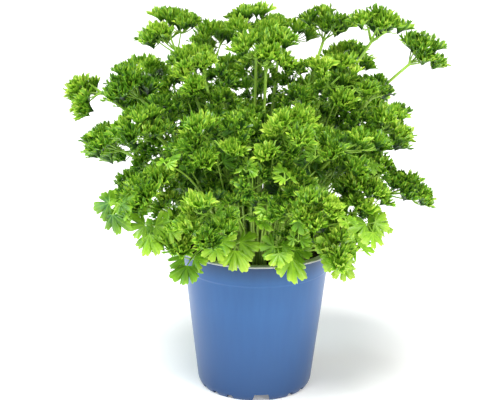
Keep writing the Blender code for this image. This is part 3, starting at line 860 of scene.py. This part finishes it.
def addFlatLeaf(growth, fork, last, face, tip, width, rng, warmth, light, **changes):
    f = flatShape
    side = face.cross(tip).normalized()
    for turn, reach, size in f["leaflets"]:
        way = turned(tip, side, math.radians(turn)).normalized()
        base = fork + (way * reach + face * plant["leafletLift"]) * width
        across = face.cross(way)
        lean = way * rng.uniform(-f["leanAlong"], f["leanAlong"])
        tilt = (face + lean + across * rng.uniform(-f["leanAcross"], f["leanAcross"])).normalized()
        way = way + across * rng.uniform(-f["swing"], f["swing"])
        way = (way - tilt * way.dot(tilt)).normalized()
        base = base - way * width * f["back"]
        radius = width * size * rng.uniform(*f["sizes"])
        addFlatLeaflet(growth, fork - last * 0.1, base, way, tilt, radius, rng, warmth, light, **changes)


def makeRimLeaf(head):
    rng = np.random.default_rng(head["seed"])
    growth = newGrowth()
    face = head["axis"]
    tip = (head["facing"] - face * head["facing"].dot(face)).normalized()
    tip = (tip + up * flatShape["rimLift"]).normalized()      # they rest on the rim
    face = (face - tip * face.dot(tip)).normalized()
    light, warmth = rimTints[int(head["name"][-2:])]
    last = addStalk(growth, head, 0.8, 0.5, warmth)
    addFlatLeaf(growth, head["fork"], last, face, tip, head["width"], rng, warmth, light)
    return finishFoliage("parsleyRimLeaf" + head["name"][-2:], growth, [head["name"]])


faceCount = sum(makeCurlyFrond(head) if head["curly"] else makeRimLeaf(head) for head in heads)
print("fronds grown,", faceCount, "faces")


# Young shoots fill the middle of the bush, below the grown heads.

shootShape = {
    "groups": 4,
    "count": 64,
    "low": 134.0,     # mm, heights of their heads
    "high": 250.0,
    "nearest": 6.0,   # mm from the pot's axis
    "spread": 92.0,
    "stalk": (0.90, 0.50),
    "width": 34.0,
    "shade": -0.12,   # painted shade of the ones that stand by rule, to darken the depth of the bush
    "forkDrop": 0.45,           # shares of a shoot's width from here
    "middleTuft": 0.36,
    "sideTuft": 0.33,
    "sideTufts": 3,
    "sideReach": (0.26, 0.38),
    "sideDrop": (0.12, 0.30),
    "sideShade": 0.08,
    "sideBow": 0.2,
    "bendHeight": 0.55,         # shares of the stalk's rise
    "bendOut": 0.1,
    "fullReach": 90.0,
    "lowCrowd": 1.3,            # over 1 gathers them low in the bush
    "widths": (0.75, 1.15),
    "tint": (0.24, 0.12),       # its mean and spread
    "shades": (-0.12, 0.08),
    "seed": 23,
}

tuftShape = {         # shares of the tuft's radius
    "centreLength": 0.84,
    "ringReach": 0.34,
    "ringDrop": 0.12,
    "ringLength": 0.80,
    "ringTilt": 50.0,     # degrees
    "tilts": (0.8, 1.2),  # times that, and so on for the next one
    "lengths": (0.88, 1.12),
    "tints": 0.10,
    "shades": 0.06,
    "fan": {"outer": 8, "inner": 3, "wide": 1.35},
}

# middle x, y, z and width of young heads that stand in the gaps between the grown ones
youngHeads = (
    (-4, -92, 196, 34), (14, -70, 206, 32), (-14, -84, 172, 34), (10, -98, 176, 30),
    (28, -84, 190, 30), (-24, -60, 196, 30), (34, -66, 176, 30), (24, -74, 146, 28),
    (-66, -60, 164, 32), (-76, -50, 180, 30), (-62, -72, 150, 28), (70, -56, 168, 30), (80, -46, 154, 28),
    (92, -34, 190, 32),
    (-56, -62, 206, 34), (48, -52, 214, 34), (-84, -30, 216, 32), (96, -24, 222, 30), (-62, -40, 184, 34),
    (62, -44, 190, 34), (-98, -40, 176, 32), (-88, -6, 186, 32), (86, -14, 176, 32), (-28, -30, 236, 34),
    (30, -30, 240, 34), (-60, 8, 246, 34), (70, 6, 246, 34), (-2, 40, 252, 34), (-44, 44, 226, 34),
    (44, 50, 214, 34), (0, 76, 206, 36), (-44, 82, 176, 34), (54, 78, 172, 34), (-84, 46, 206, 34),
    (78, 22, 196, 34), (-6, 92, 158, 32), (-70, 52, 166, 32), (72, 52, 160, 32), (-96, 14, 166, 30),
    (42, 20, 252, 32), (52, 2, 240, 32), (30, 46, 244, 32), (-30, 24, 244, 32), (84, -8, 200, 32),
)


# the stalks are in sight low at the front, where few leaves grow
window = {"behind": -18.0, "top": 164.0, "side": 56.0}


def inWindow(spot):
    x, y, z = spot / mm
    return y < window["behind"] and z < window["top"] and abs(x) < window["side"]


def addTuft(growth, foot, base, axis, radius, rng, warmth, light, around, bow=0.0):
    # A short branch that parts into twigs, each with a fan at its end.
    t = tuftShape
    side, other = levelFrame(axis)
    bend = foot.lerp(base, 0.5) - axis * radius * bow
    path = curvedPath(foot, bend, base - axis * radius * 0.1, 6)
    addTube(growth, path, stalkShape["branch"], 6, (0.62, 0.85), warmth)
    turn = rng.uniform(0, math.tau)
    spots = [(base, (axis + up * fanShape["upward"]).normalized(), t["centreLength"])]
    for index in range(around):
        level = turned(side, other, turn + math.tau * (index + rng.uniform(-0.15, 0.15)) / around)
        tilt = math.radians(t["ringTilt"]) * rng.uniform(*t["tilts"])
        spot = base + level * radius * t["ringReach"] - axis * radius * t["ringDrop"]
        way = turned(axis, level, tilt) + up * fanShape["upward"]
        spots.append((spot, way.normalized(), t["ringLength"]))
    start = base - axis * radius * 0.3
    for spot, way, share in spots:
        twig = curvedPath(start, start.lerp(spot, 0.5), spot + way * radius * 0.08, 4)
        addTube(growth, twig, stalkShape["twig"][1:], 5, (0.9,), warmth)
        tint = warmth + rng.uniform(-t["tints"], t["tints"])
        shade = light + rng.uniform(-t["shades"], t["shades"])
        length = radius * share * rng.uniform(*t["lengths"])
        addFan(growth, spot, way, length, rng, tint, shade, **t["fan"])


def addShoot(growth, root, middle, axis, width, rng, warmth, light):
    v = shootShape
    fork = middle - axis * width * v["forkDrop"]
    rise = fork.z - root.z
    bend = root + up * rise * v["bendHeight"] + outward(middle) * v["bendOut"] * rise
    addYoungStalk(growth, root, bend, fork, 12, v["stalk"], 8, warmth)
    addTuft(growth, fork, middle, axis, width * v["middleTuft"], rng, warmth, light, 3)
    level, other = levelFrame(axis)
    turn = rng.uniform(0.0, math.tau)
    for part in range(v["sideTufts"]):
        way = turned(level, other, turn + part * math.tau / v["sideTufts"])
        out = way * width * rng.uniform(*v["sideReach"])
        base = middle + out - axis * width * rng.uniform(*v["sideDrop"])
        face = ((base - fork).normalized() + way * 0.3).normalized()
        shade = light + rng.uniform(-v["sideShade"], v["sideShade"])
        addTuft(growth, fork, base, face, width * v["sideTuft"], rng, warmth, shade, 2, bow=v["sideBow"])


def makeYoungShoots():
    v = shootShape
    rng = np.random.default_rng(v["seed"])
    spread = plant["rootSpread"] * mm
    spots = []
    for x, y, z, width in youngHeads:
        middle = Vector((x, y, z)) * mm
        side = outward(middle)
        reach = min(1.0, math.hypot(x, y) / v["fullReach"])
        root = soilMiddle + side * spread * reach * 0.85
        spots.append((root, middle, (side * 0.5 * reach + up).normalized(), width * mm, 0.0))
    for index in range(v["count"]):
        share = (index + 0.5) / v["count"]
        angle = index * goldenAngle
        rise = rng.uniform(0.0, 1.0) ** v["lowCrowd"]
        height = v["low"] + (v["high"] - v["low"]) * rise
        reach = v["nearest"] + (v["spread"] - v["nearest"]) * math.sqrt(share)
        side = Vector((math.cos(angle), math.sin(angle), 0.0))
        root = soilMiddle + side * spread * math.sqrt(share) * 0.95
        middle = up * height * mm + side * reach * (0.62 + 0.48 * rise) * mm
        width = v["width"] * mm * rng.uniform(*v["widths"])
        if not inWindow(middle):
            spots.append((root, middle, (side * 0.7 * share + up).normalized(), width, v["shade"]))
    made = 0
    for group in range(v["groups"]):
        growth = newGrowth()
        for root, middle, axis, width, shade in spots[group::v["groups"]]:
            warmth = float(np.clip(rng.normal(*v["tint"]), 0.0, 0.6))
            addShoot(growth, root, middle, axis, width, rng, warmth, shade + rng.uniform(*v["shades"]))
        made += finishFoliage(f"youngShoots{group + 1}", growth)
    return made


print("young shoots grown,", makeYoungShoots(), "faces")


# Broad young leaves stand between the heads, low in the bush: middle x, y, z, width, turn and lean,
# then how light and how yellow each one is.

broadLeaves = (
    (-92, -62, 160, 28, -60, 50, 0.00, 0.50),
    (-62, -88, 152, 26, -30, 66, 0.02, 0.60),
    (-30, -100, 142, 28, -30, 48, 0.04, 0.65),
    (16, -92, 136, 28, 10, 50, 0.02, 0.50),
    (30, -104, 164, 26, -20, 70, -0.06, 0.30),
    (70, -86, 146, 28, 40, 50, 0.03, 0.60),
    (92, -52, 152, 26, 70, 62, 0.00, 0.50),
    (-92, 52, 160, 28, -130, 60, 0.00, 0.45),
    (-40, 100, 150, 28, 160, 55, 0.02, 0.55),
    (18, 100, 148, 28, 175, 60, 0.00, 0.50),
    (70, 84, 152, 28, 140, 50, 0.02, 0.55),
    (96, 34, 158, 26, 100, 62, 0.00, 0.45),
)

# small and deeply cut ones, between the heads at the front
cutLeaves = (
    (-7, -94, 203, 20, -20, 30, 0.02, 0.40),
    (18, -98, 199, 22, 30, 44, 0.04, 0.50),
    (37, -100, 186, 20, -10, 36, 0.00, 0.40),
    (7, -96, 175, 22, 16, 52, 0.06, 0.45),
    (-25, -92, 167, 20, -40, 40, 0.02, 0.35),
    (4, -90, 160, 22, 40, 30, -0.04, 0.40),
    (62, -92, 165, 20, 50, 42, 0.04, 0.50),
    (30, -96, 154, 22, -30, 56, 0.02, 0.45),
    (-62, -84, 204, 20, -50, 30, 0.02, 0.40),
    (40, -84, 212, 20, 20, 50, 0.00, 0.40),
    (84, -60, 196, 20, 60, 40, 0.02, 0.45),
    (-14, 100, 176, 22, 170, 40, 0.00, 0.40),
    (60, 92, 196, 20, 150, 50, 0.02, 0.40),
    (-62, 88, 182, 22, -150, 40, 0.00, 0.40),
)

# older flat ones that hang out at the front, just above the rim
hangingLeaves = (
    (-104, -82, 160, 38, -20, 66, -0.20, 0.85),
    (-78, -84, 146, 34, -10, 62, -0.04, 0.75),
    (84, -78, 148, 34, 25, 60, 0.02, 0.60),
    (57, -100, 137, 32, 12, 66, 0.02, 0.66),
)

broadShape = {
    "upright": 0.6,       # share of the young ones that still point up
    "cut": {"spread": 84.0, "lobe": 40.0, "cutDepths": (0.64, 0.54), "roundness": 0.32, "toothDepth": 0.18},
    "stalk": (1.0, 0.6),  # mm
    "roots": (0.55, 0.85),      # shares of the roots' spread
    "bendShare": 0.45,
    "bendRise": 0.4,
    "seed": 31,
}


def makeBroadLeaves():
    v = broadShape
    rng = np.random.default_rng(v["seed"])
    growth = newGrowth()
    kinds = ((broadLeaves, v["upright"], {}), (cutLeaves, v["upright"], v["cut"]), (hangingLeaves, 0.0, {}))
    rows = [(row, upright, changes) for leaves, upright, changes in kinds for row in leaves]
    for (x, y, z, width, turn, lean, light, warmth), upright, changes in rows:
        middle = Vector((x, y, z)) * mm
        facing = wayFrom(turn)
        face = turned(up, facing, math.radians(lean))
        tip = turned(facing, -up, math.radians(lean))
        tip = -tip if rng.uniform() < upright else tip
        fork = middle - (tip * plant["leafBack"] + face * plant["leafletLift"]) * width * mm
        root = soilMiddle + outward(middle) * plant["rootSpread"] * mm * rng.uniform(*v["roots"])
        bend = root.lerp(fork, v["bendShare"]) + up * (fork.z - root.z) * v["bendRise"]
        last = addYoungStalk(growth, root, bend, fork, 14, v["stalk"], 8, warmth)
        addFlatLeaf(growth, fork, last, face, tip, width * mm, rng, warmth, light, **changes)
    return finishFoliage("broadLeaves", growth)


print("broad leaves grown,", makeBroadLeaves(), "faces")


# Shaded leaves stand upright in the depth of the bush, so that no one sees straight through it. Their dark
# tone is painted shade.

innerLeaves = {
    "count": 110,
    "low": 128.0,      # mm
    "high": 208.0,
    "near": 14.0,
    "far": 84.0,
    "widths": (26.0, 36.0),
    # painted shade: these leaves get a dark tone for the depth of the bush
    "lights": (-0.38, -0.12),
    "turn": 1.7,       # times the golden angle
    "sideways": 0.7,   # how far they turn aside, and upwards
    "upwards": (0.1, 0.7),
    "stalk": (0.9, 0.5),
    "bow": 10.0,
    "leaflet": {
        "perTooth": 3, "rows": (0.02, 0.34, 0.64, 0.86, 1.0),
        "spread": 76.0, "lobe": 36.0, "cutDepths": (0.70, 0.56), "roundness": 0.34,
    },
    "seed": 41,
}


def makeInnerLeaves():
    v = innerLeaves
    rng = np.random.default_rng(v["seed"])
    growth = newGrowth()
    for index in range(v["count"]):
        share = (index + 0.5) / v["count"]
        angle = index * goldenAngle * v["turn"]
        rise = rng.uniform(0.0, 1.0)
        side = Vector((math.cos(angle), math.sin(angle), 0.0))
        reach = (v["near"] + (v["far"] - v["near"]) * math.sqrt(share)) * (0.70 + 0.30 * rise)
        fork = side * reach * mm + up * (v["low"] + (v["high"] - v["low"]) * rise) * mm
        turn = side.orthogonal().normalized() * rng.uniform(-v["sideways"], v["sideways"])
        face = (side + turn + up * rng.uniform(*v["upwards"])).normalized()
        tip = (up - face * up.dot(face)).normalized()
        root = soilMiddle + side * plant["rootSpread"] * mm * math.sqrt(share) * 0.9
        width = rng.uniform(*v["widths"]) * mm
        light = rng.uniform(*v["lights"])
        if not inWindow(fork):
            bend = root.lerp(fork, 0.5) + up * v["bow"] * mm
            last = addYoungStalk(growth, root, bend, fork, 8, v["stalk"], 6, 0.2)
            addFlatLeaf(growth, fork, last, face, tip, width, rng, 0.12, light, **v["leaflet"])
    return finishFoliage("innerLeaves", growth)


print("inner leaves grown,", makeInnerLeaves(), "faces")


# Pot

potShape = {      # mm
    "steps": 192,
    "wall": 1.2,
    "footRadius": 43.2,
    "footInner": 40.8,
    "heelRadius": 45.4,
    "heelHeight": 3.6,
    "stepRadius": 56.4,
    "stepHeight": 97.6,
    "stepWidth": 0.8,
    "stepRise": 1.4,
    "bandRadius": 58.9,
    "bandHeight": 114.6,
    "lipRadius": 65.0,
    "lipHeight": 117.2,
    "lipEdge": 1.3,
    "edgeRound": 0.4,
    "floorBottom": 6.0,
    "floorTop": 7.4,
    "archCount": 3,
    "archTurn": 7.0,
    "archWidth": 13.6,
    "archHeight": 5.6,
    "notchTurns": (-27.0, -9.0, 9.0, 27.0),
    "notchWidth": 5.4,
    "notchHeight": 3.0,
    "cutterLength": 12.0,
    "cutterTaper": 0.18,
    "cutterRound": 0.55,      # mm
    "drainCount": 4,
    "drainRadius": 3.5,
    "drainCircle": 26.0,
    "drainDepth": 6.0,
    "sharpFrom": 38.0,        # degrees
    "lipWidth": 0.9,          # that shows the pale inner side of the sheet
}

potLook = {
    "blue": "#2B5A90",
    "blueDrawn": "#28558B",
    "blueFoot": "#20426F",     # darker towards the foot
    "grey": "#BDBFBC",
    "footFade": 0.075,         # metres up the wall
    "lipShade": 0.38,          # painted shade under the lip, where the lip and the leaves shade the band
    "lipFade": (0.1145, 0.101),
    "roughness": (0.26, 0.38),
    "ior": 1.42,
    "peel": 1.6,        # mm, the fine unevenness that forming leaves
    "draw": 4.0,        # mm across, draw lines that run down the wall
    "drawRun": 0.08,
}


def makeFormedPolypropylene(name, colours, shadeUnderLip=False):
    # Thermoformed polypropylene sheet: satin, a little waxy, with faint draw lines down the wall.
    look = potLook
    bright, dull, foot = colours
    material, tree = newMaterial(name)
    place = addNode(tree, "ShaderNodeTexCoord").outputs["Object"]
    run = {1: (1.0, 1.0, look["drawRun"])}
    stretch = addNode(tree, "ShaderNodeVectorMath", run, {0: place}, operation="MULTIPLY")
    grain = {"Scale": 1 / (look["draw"] * mm), "Detail": 3.0}
    drawn = addNode(tree, "ShaderNodeTexNoise", grain, {"Vector": stretch})
    grain = {"Scale": 1 / (look["peel"] * mm), "Detail": 2.0}
    peel = addNode(tree, "ShaderNodeTexNoise", grain, {"Vector": place})
    sheet = addNode(tree, "ShaderNodeValToRGB", links={"Fac": drawn}, stops=((0.25, dull), (0.75, bright)))
    height = addNode(tree, "ShaderNodeSeparateXYZ", links={"Vector": place}).outputs["Z"]
    rise = addNode(tree, "ShaderNodeMapRange", {"From Max": look["footFade"]}, {"Value": height})
    colour = addNode(tree, "ShaderNodeMix", {6: toLinear(foot)}, {0: rise, 7: sheet}, data_type="RGBA")
    # painted shade: the band darkens just under the lip
    if shadeUnderLip:
        high, low = look["lipFade"]
        fade = {"From Min": high, "From Max": low, "To Min": look["lipShade"]}
        lipShadow = addNode(tree, "ShaderNodeMapRange", fade, {"Value": height})
        colour = addNode(tree, "ShaderNodeMix", {0: 1.0}, {6: colour.outputs[2], 7: lipShadow},
                         data_type="RGBA", blend_type="MULTIPLY")
    smoothest, roughest = look["roughness"]
    rough = addNode(tree, "ShaderNodeMapRange", {"To Min": smoothest, "To Max": roughest}, {"Value": drawn})
    first = addNode(tree, "ShaderNodeBump", {"Strength": 0.3, "Distance": 0.10 * mm}, {"Height": drawn})
    second = addNode(tree, "ShaderNodeBump", {"Strength": 0.15, "Distance": 0.04 * mm},
                     {"Height": peel, "Normal": first})
    skin = addNode(tree, "ShaderNodeBsdfPrincipled", {"IOR": look["ior"]},
                   {"Base Color": colour.outputs[2], "Roughness": rough, "Normal": second})
    addNode(tree, "ShaderNodeOutputMaterial", links={"Surface": skin})
    return material


def bodyRadius(height):
    share = (height - potShape["heelHeight"]) / (potShape["stepHeight"] - potShape["heelHeight"])
    return potShape["heelRadius"] + (potShape["stepRadius"] - potShape["heelRadius"]) * share


def roundedProfile(corners):
    # corners are (radius, height, rounding); each rounded one becomes a short arc
    points = []
    for index, (radius, height, rounding) in enumerate(corners):
        here = Vector((radius, height))
        if not rounding or index in (0, len(corners) - 1):
            points.append(here)
            continue
        before = Vector(corners[index - 1][:2]) - here
        after = Vector(corners[index + 1][:2]) - here
        start = here + before.normalized() * min(rounding, before.length * 0.45)
        end = here + after.normalized() * min(rounding, after.length * 0.45)
        for step in range(5):
            share = step / 4
            points.append(start.lerp(here, share).lerp(here.lerp(end, share), share))
    return points


def spinProfile(name, points):
    bm = bmesh.new()
    verts = [bm.verts.new((point.x * mm, 0.0, point.y * mm)) for point in points]
    edges = [bm.edges.new(pair) for pair in zip(verts, verts[1:])]
    bmesh.ops.spin(bm, geom=verts + edges, cent=(0, 0, 0), axis=up, angle=math.tau,
                   steps=potShape["steps"], use_merge=True)
    bmesh.ops.remove_doubles(bm, verts=bm.verts, dist=1e-6)
    bmesh.ops.recalc_face_normals(bm, faces=bm.faces)
    return meshOf(name, bm)


def makeCutter(turn, width, height):
    # A bar with slanted sides and rounded top edges that lies across the foot.
    bm = bmesh.new()
    bmesh.ops.create_cube(bm, size=1.0)
    for vert in bm.verts:
        narrowing = potShape["cutterTaper"] if vert.co.z > 0.0 else -potShape["cutterTaper"]
        vert.co.x *= width * mm * (1.0 - narrowing)
        vert.co.y *= potShape["cutterLength"] * mm
        vert.co.z *= 2.0 * height * mm
    tops = [edge for edge in bm.edges if all(vert.co.z > 0.0 for vert in edge.verts)
            and abs(edge.verts[0].co.x - edge.verts[1].co.x) < 1e-6]
    radius = potShape["cutterRound"] * mm
    bmesh.ops.bevel(bm, geom=tops, offset=radius, segments=4, profile=0.5, affect="EDGES")
    angle = math.radians(turn)
    middle = (potShape["footInner"] + potShape["heelRadius"]) / 2 * mm
    moved = Matrix.Translation((middle * math.sin(angle), -middle * math.cos(angle), 0.0))
    bmesh.ops.transform(bm, verts=bm.verts, matrix=moved @ Matrix.Rotation(angle, 4, "Z"))
    return bm


def makeDrain(turn):
    bm = bmesh.new()
    radius = potShape["drainRadius"] * mm
    bmesh.ops.create_cone(bm, cap_ends=True, segments=40, radius1=radius, radius2=radius,
                          depth=potShape["drainDepth"] * mm)
    angle = math.radians(turn)
    middle = potShape["drainCircle"] * mm
    place = (middle * math.cos(angle), middle * math.sin(angle), potShape["floorBottom"] * mm)
    bmesh.ops.translate(bm, verts=bm.verts, vec=place)
    return bm


def subtract(made, cutters):
    group = bpy.data.collections.new("cutters")
    scene.collection.children.link(group)
    for bm in cutters:
        group.objects.link(bpy.data.objects.new("cutter", meshOf("cutter", bm)))
    modifier = made.modifiers.new("cut", "BOOLEAN")
    modifier.operation = "DIFFERENCE"
    modifier.operand_type = "COLLECTION"
    modifier.collection = group
    modifier.solver = "EXACT"
    bpy.context.view_layer.update()
    result = bpy.data.meshes.new_from_object(made.evaluated_get(bpy.context.evaluated_depsgraph_get()))
    made.modifiers.clear()
    made.data = result
    for cutter in list(group.objects):
        bpy.data.objects.remove(cutter)
    bpy.data.collections.remove(group)


def makePot():
    s = potShape
    bandLow = s["stepHeight"] + s["stepRise"]
    bandFoot = s["stepRadius"] + s["stepWidth"]
    profile = roundedProfile((
        (0.0, s["floorBottom"], 0),
        (s["footInner"], s["floorBottom"], 0.6),
        (s["footInner"], 0.0, 0.4),
        (s["footRadius"], 0.0, 0.5),
        (s["heelRadius"], s["heelHeight"], 2.5),
        (s["stepRadius"], s["stepHeight"], 0.5),
        (bandFoot, bandLow, 0.5),
        (s["bandRadius"], s["bandHeight"], 1.0),
        (s["lipRadius"], s["lipHeight"] - s["lipEdge"], 0.5),
        (s["lipRadius"] - s["edgeRound"], s["lipHeight"], 0.5),
        (s["bandRadius"] - s["wall"], s["lipHeight"] - s["edgeRound"], 1.4),
        (bandFoot - s["wall"], bandLow + s["edgeRound"], 0.5),
        (s["stepRadius"] - s["wall"], s["stepHeight"], 0.5),
        (bodyRadius(s["floorTop"]) - s["wall"], s["floorTop"], 1.5),
        (0.0, s["floorTop"], 0),
    ))
    blues = (potLook["blue"], potLook["blueDrawn"], potLook["blueFoot"])
    blue = makeFormedPolypropylene("thermoformed blue polypropylene", blues, shadeUnderLip=True)
    grey = makeFormedPolypropylene("thermoformed grey polypropylene", (potLook["grey"],) * 3)
    pot = newPiece("nurseryPot", spinProfile("pot", profile), (blue, grey), ["pot"])
    cutters = []
    for arch in range(s["archCount"]):
        turn = s["archTurn"] + arch * 360.0 / s["archCount"]
        cutters.append(makeCutter(turn, s["archWidth"], s["archHeight"]))
        for offset in s["notchTurns"]:
            middle = turn + 180.0 / s["archCount"] + offset
            cutters.append(makeCutter(middle, s["notchWidth"], s["notchHeight"]))
    for drain in range(s["drainCount"]):
        cutters.append(makeDrain(drain * 360.0 / s["drainCount"]))
    subtract(pot, cutters)
    # grey inside and on the lip, blue outside
    for face in pot.data.polygons:
        centre = face.center
        radius = math.hypot(centre.x, centre.y) / mm
        height = centre.z / mm
        wallMiddle = bodyRadius(min(height, s["stepHeight"])) - s["wall"] / 2
        inside = height > s["floorTop"] - 0.3 and radius < wallMiddle
        if height > bandLow:
            inside = face.normal.z > 0.3 or face.normal.dot(Vector((centre.x, centre.y, 0.0))) < 0.0
            inside = inside or radius > s["lipRadius"] - s["lipWidth"]
        face.material_index = 1 if inside else 0
    pot.data.shade_smooth()
    pot.data.set_sharp_from_angle(angle=math.radians(s["sharpFrom"]))
    print("pot turned and cut,", len(pot.data.polygons), "faces")


makePot()


# Peat, with crumbs lying on it

peatShape = {     # mm
    "top": 108.0,
    "low": 7.75,
    "gap": 0.35,
    "rings": 46,
    "turns": 150,
    "lumps": (14.0, 2.2),     # size and height
    "grains": (3.2, 1.1),
    "crumbs": 520,
    "crumbSizes": (0.5, 1.9),
    "perlite": 26,
    "seed": 5,
}

peatLook = {
    "stops": ((0.35, "#1B130D"), (0.55, "#34251A"), (0.75, "#5C4430")),     # damp, drying, fibres
    "grain": 1.4,       # mm
    "roughness": 0.94,
    "perlite": "#D9D4C6",
    "pore": 0.6,        # mm
}


def makePeat():
    # Peat: matt, dark and fibrous, lighter where crumbs have dried.
    look = peatLook
    material, tree = newMaterial("damp sphagnum peat")
    place = addNode(tree, "ShaderNodeTexCoord").outputs["Object"]
    values = {"Scale": 1 / (look["grain"] * mm), "Detail": 6.0, "Roughness": 0.7}
    grain = addNode(tree, "ShaderNodeTexNoise", values, {"Vector": place})
    colour = addNode(tree, "ShaderNodeValToRGB", links={"Fac": grain}, stops=look["stops"])
    bump = addNode(tree, "ShaderNodeBump", {"Strength": 0.8, "Distance": 0.6 * mm}, {"Height": grain})
    skin = addNode(tree, "ShaderNodeBsdfPrincipled", {"Roughness": look["roughness"]},
                   {"Base Color": colour, "Normal": bump})
    addNode(tree, "ShaderNodeOutputMaterial", links={"Surface": skin})
    return material


def makePerlite():
    # Expanded perlite: chalky white grains with a rough, foamed face.
    material, tree = newMaterial("expanded perlite")
    place = addNode(tree, "ShaderNodeTexCoord").outputs["Object"]
    pores = addNode(tree, "ShaderNodeTexVoronoi", {"Scale": 1 / (peatLook["pore"] * mm)}, {"Vector": place})
    bump = addNode(tree, "ShaderNodeBump", {"Strength": 0.5, "Distance": 0.2 * mm}, {"Height": pores})
    chalk = {"Base Color": toLinear(peatLook["perlite"]), "Roughness": 0.9}
    skin = addNode(tree, "ShaderNodeBsdfPrincipled", chalk, {"Normal": bump})
    addNode(tree, "ShaderNodeOutputMaterial", links={"Surface": skin})
    return material


def peatHeight(x, y):
    height = 0.0
    for size, rise in (peatShape["lumps"], peatShape["grains"]):
        height += noise.noise(Vector((x / size, y / size, size))) * rise
    return height


def addRing(bm, radius, heightAt):
    ring = []
    for turn in range(peatShape["turns"]):
        angle = math.tau * turn / peatShape["turns"]
        x, y = radius * math.cos(angle), radius * math.sin(angle)
        ring.append(bm.verts.new((x * mm, y * mm, heightAt(x, y) * mm)))
    return ring


def nextOnes(ring):
    return ring[1:] + ring[:1]


def makeSoil():
    s = peatShape
    top = potShape["stepRadius"] - potShape["wall"] + potShape["stepWidth"] - s["gap"] * 0.2
    foot = bodyRadius(s["low"]) - potShape["wall"] - s["gap"]
    bm = bmesh.new()
    rings = []
    for ring in range(1, s["rings"] + 1):
        fade = 1.0 - (ring / s["rings"]) ** 8
        rings.append(addRing(bm, top * ring / s["rings"], lambda x, y: s["top"] + peatHeight(x, y) * fade))
    for radius, height in ((top - 0.6, s["top"] - 3.0), (foot, s["low"])):
        rings.append(addRing(bm, radius, lambda x, y: height))
    for low, high in zip(rings, rings[1:]):
        for corners in zip(low, high, nextOnes(high), nextOnes(low)):
            bm.faces.new(corners)
    bm.faces.new(rings[-1][::-1])
    middle = bm.verts.new((0.0, 0.0, (s["top"] + peatHeight(0.0, 0.0)) * mm))
    for one, two in zip(rings[0], nextOnes(rings[0])):
        bm.faces.new((middle, one, two))
    bmesh.ops.recalc_face_normals(bm, faces=bm.faces)
    draw = random.Random(s["seed"])
    for index in range(s["crumbs"] + s["perlite"]):
        white = index >= s["crumbs"]
        angle = draw.uniform(0, math.tau)
        radius = (top - 2.0) * math.sqrt(draw.random())
        x, y = radius * math.cos(angle), radius * math.sin(angle)
        size = draw.uniform(*s["crumbSizes"]) * (0.8 if white else 1.0)
        made = bmesh.ops.create_icosphere(bm, subdivisions=1, radius=size * mm)["verts"]
        for vert in made:
            vert.co *= 1.0 + noise.noise(vert.co / (size * mm) + Vector((index, 0, 0))) * 0.5
        wide, deep, high = draw.uniform(0.7, 1.4), draw.uniform(0.7, 1.4), draw.uniform(0.5, 0.9)
        squash = Matrix.Diagonal((wide, deep, high, 1.0))
        spin = Matrix.Rotation(draw.uniform(0, math.tau), 4, "Z")
        spin = spin @ Matrix.Rotation(draw.uniform(-0.6, 0.6), 4, "X")
        place = Matrix.Translation((x * mm, y * mm, (s["top"] + peatHeight(x, y) + size * 0.25) * mm))
        bmesh.ops.transform(bm, verts=made, matrix=place @ spin @ squash)
        if white:
            for face in {face for vert in made for face in vert.link_faces}:
                face.material_index = 1
    mesh = meshOf("soil", bm)
    mesh.shade_smooth()
    newPiece("peatPlug", mesh, (makePeat(), makePerlite()), ["soil"])
    print("peat laid,", len(mesh.polygons), "faces")


makeSoil()


# Floor and light

studio = {
    "floor": "#F4F4F2",
    "floorGlow": 0.24,      # the paper lies on a lit table
    "floorSize": 12.0,
    "sky": "#FFFFFF",
    "skyStrength": 0.42,
    "sunHeight": 66.0,      # degrees up, and to the left of the camera
    "sunTurn": -24.0,
    "sunStrength": 4.15,
    "sunAngle": 34.0,
    "panelAim": (0.0, 0.0, 0.12),
    "leftPanel": {"place": (-1.10, -0.20, 0.42), "size": (0.60, 1.0), "power": 7.0, "colour": "#BEE6FF"},
    "rightPanel": {"place": (0.80, -0.93, 0.42), "size": (0.12, 1.0), "power": 10.0, "colour": "#F6F2F4"},
}


def makeFloor():
    bm = bmesh.new()
    bmesh.ops.create_grid(bm, x_segments=1, y_segments=1, size=studio["floorSize"] / 2)
    mesh = meshOf("floor", bm)
    floor = newObject("floor", mesh)
    material, tree = newMaterial("matt white paper floor")
    colour = toLinear(studio["floor"])
    paper = addNode(tree, "ShaderNodeBsdfPrincipled", {
        "Base Color": colour, "Roughness": 0.85, "Specular IOR Level": 0.2,
        "Emission Color": colour, "Emission Strength": studio["floorGlow"],
    })
    addNode(tree, "ShaderNodeOutputMaterial", links={"Surface": paper})
    mesh.materials.append(material)


def makeLight(name, kind, place, aim, **settings):
    data = bpy.data.lights.new(name, kind)
    for key, value in settings.items():
        setattr(data, key, value)
    lookFrom(newObject(name, data), place, aim)


def makeSun():
    place = turned(wayFrom(studio["sunTurn"]), up, math.radians(studio["sunHeight"])) * 2.0
    makeLight("sun", "SUN", place, (0.0, 0.0, 0.0),
              energy=studio["sunStrength"], angle=math.radians(studio["sunAngle"]))


def makePanel(name):
    # A tall soft panel, which draws a broad streak of light down the pot.
    panel = studio[name]
    width, height = panel["size"]
    makeLight(name, "AREA", panel["place"], studio["panelAim"], shape="RECTANGLE", size=width, size_y=height,
              energy=panel["power"], color=toLinear(panel["colour"])[:3])


def makeSky():
    world = bpy.data.worlds.new("studio")
    world.use_nodes = True
    tree = world.node_tree
    tree.nodes.clear()
    light = {"Color": toLinear(studio["sky"]), "Strength": studio["skyStrength"]}
    sky = addNode(tree, "ShaderNodeBackground", light)
    addNode(tree, "ShaderNodeOutputWorld", links={"Surface": sky})
    scene.world = world
    scene.view_settings.view_transform = "Standard"


makeFloor()
makeSky()
makeSun()
for name in ("leftPanel", "rightPanel"):
    makePanel(name)
print("studio lit")
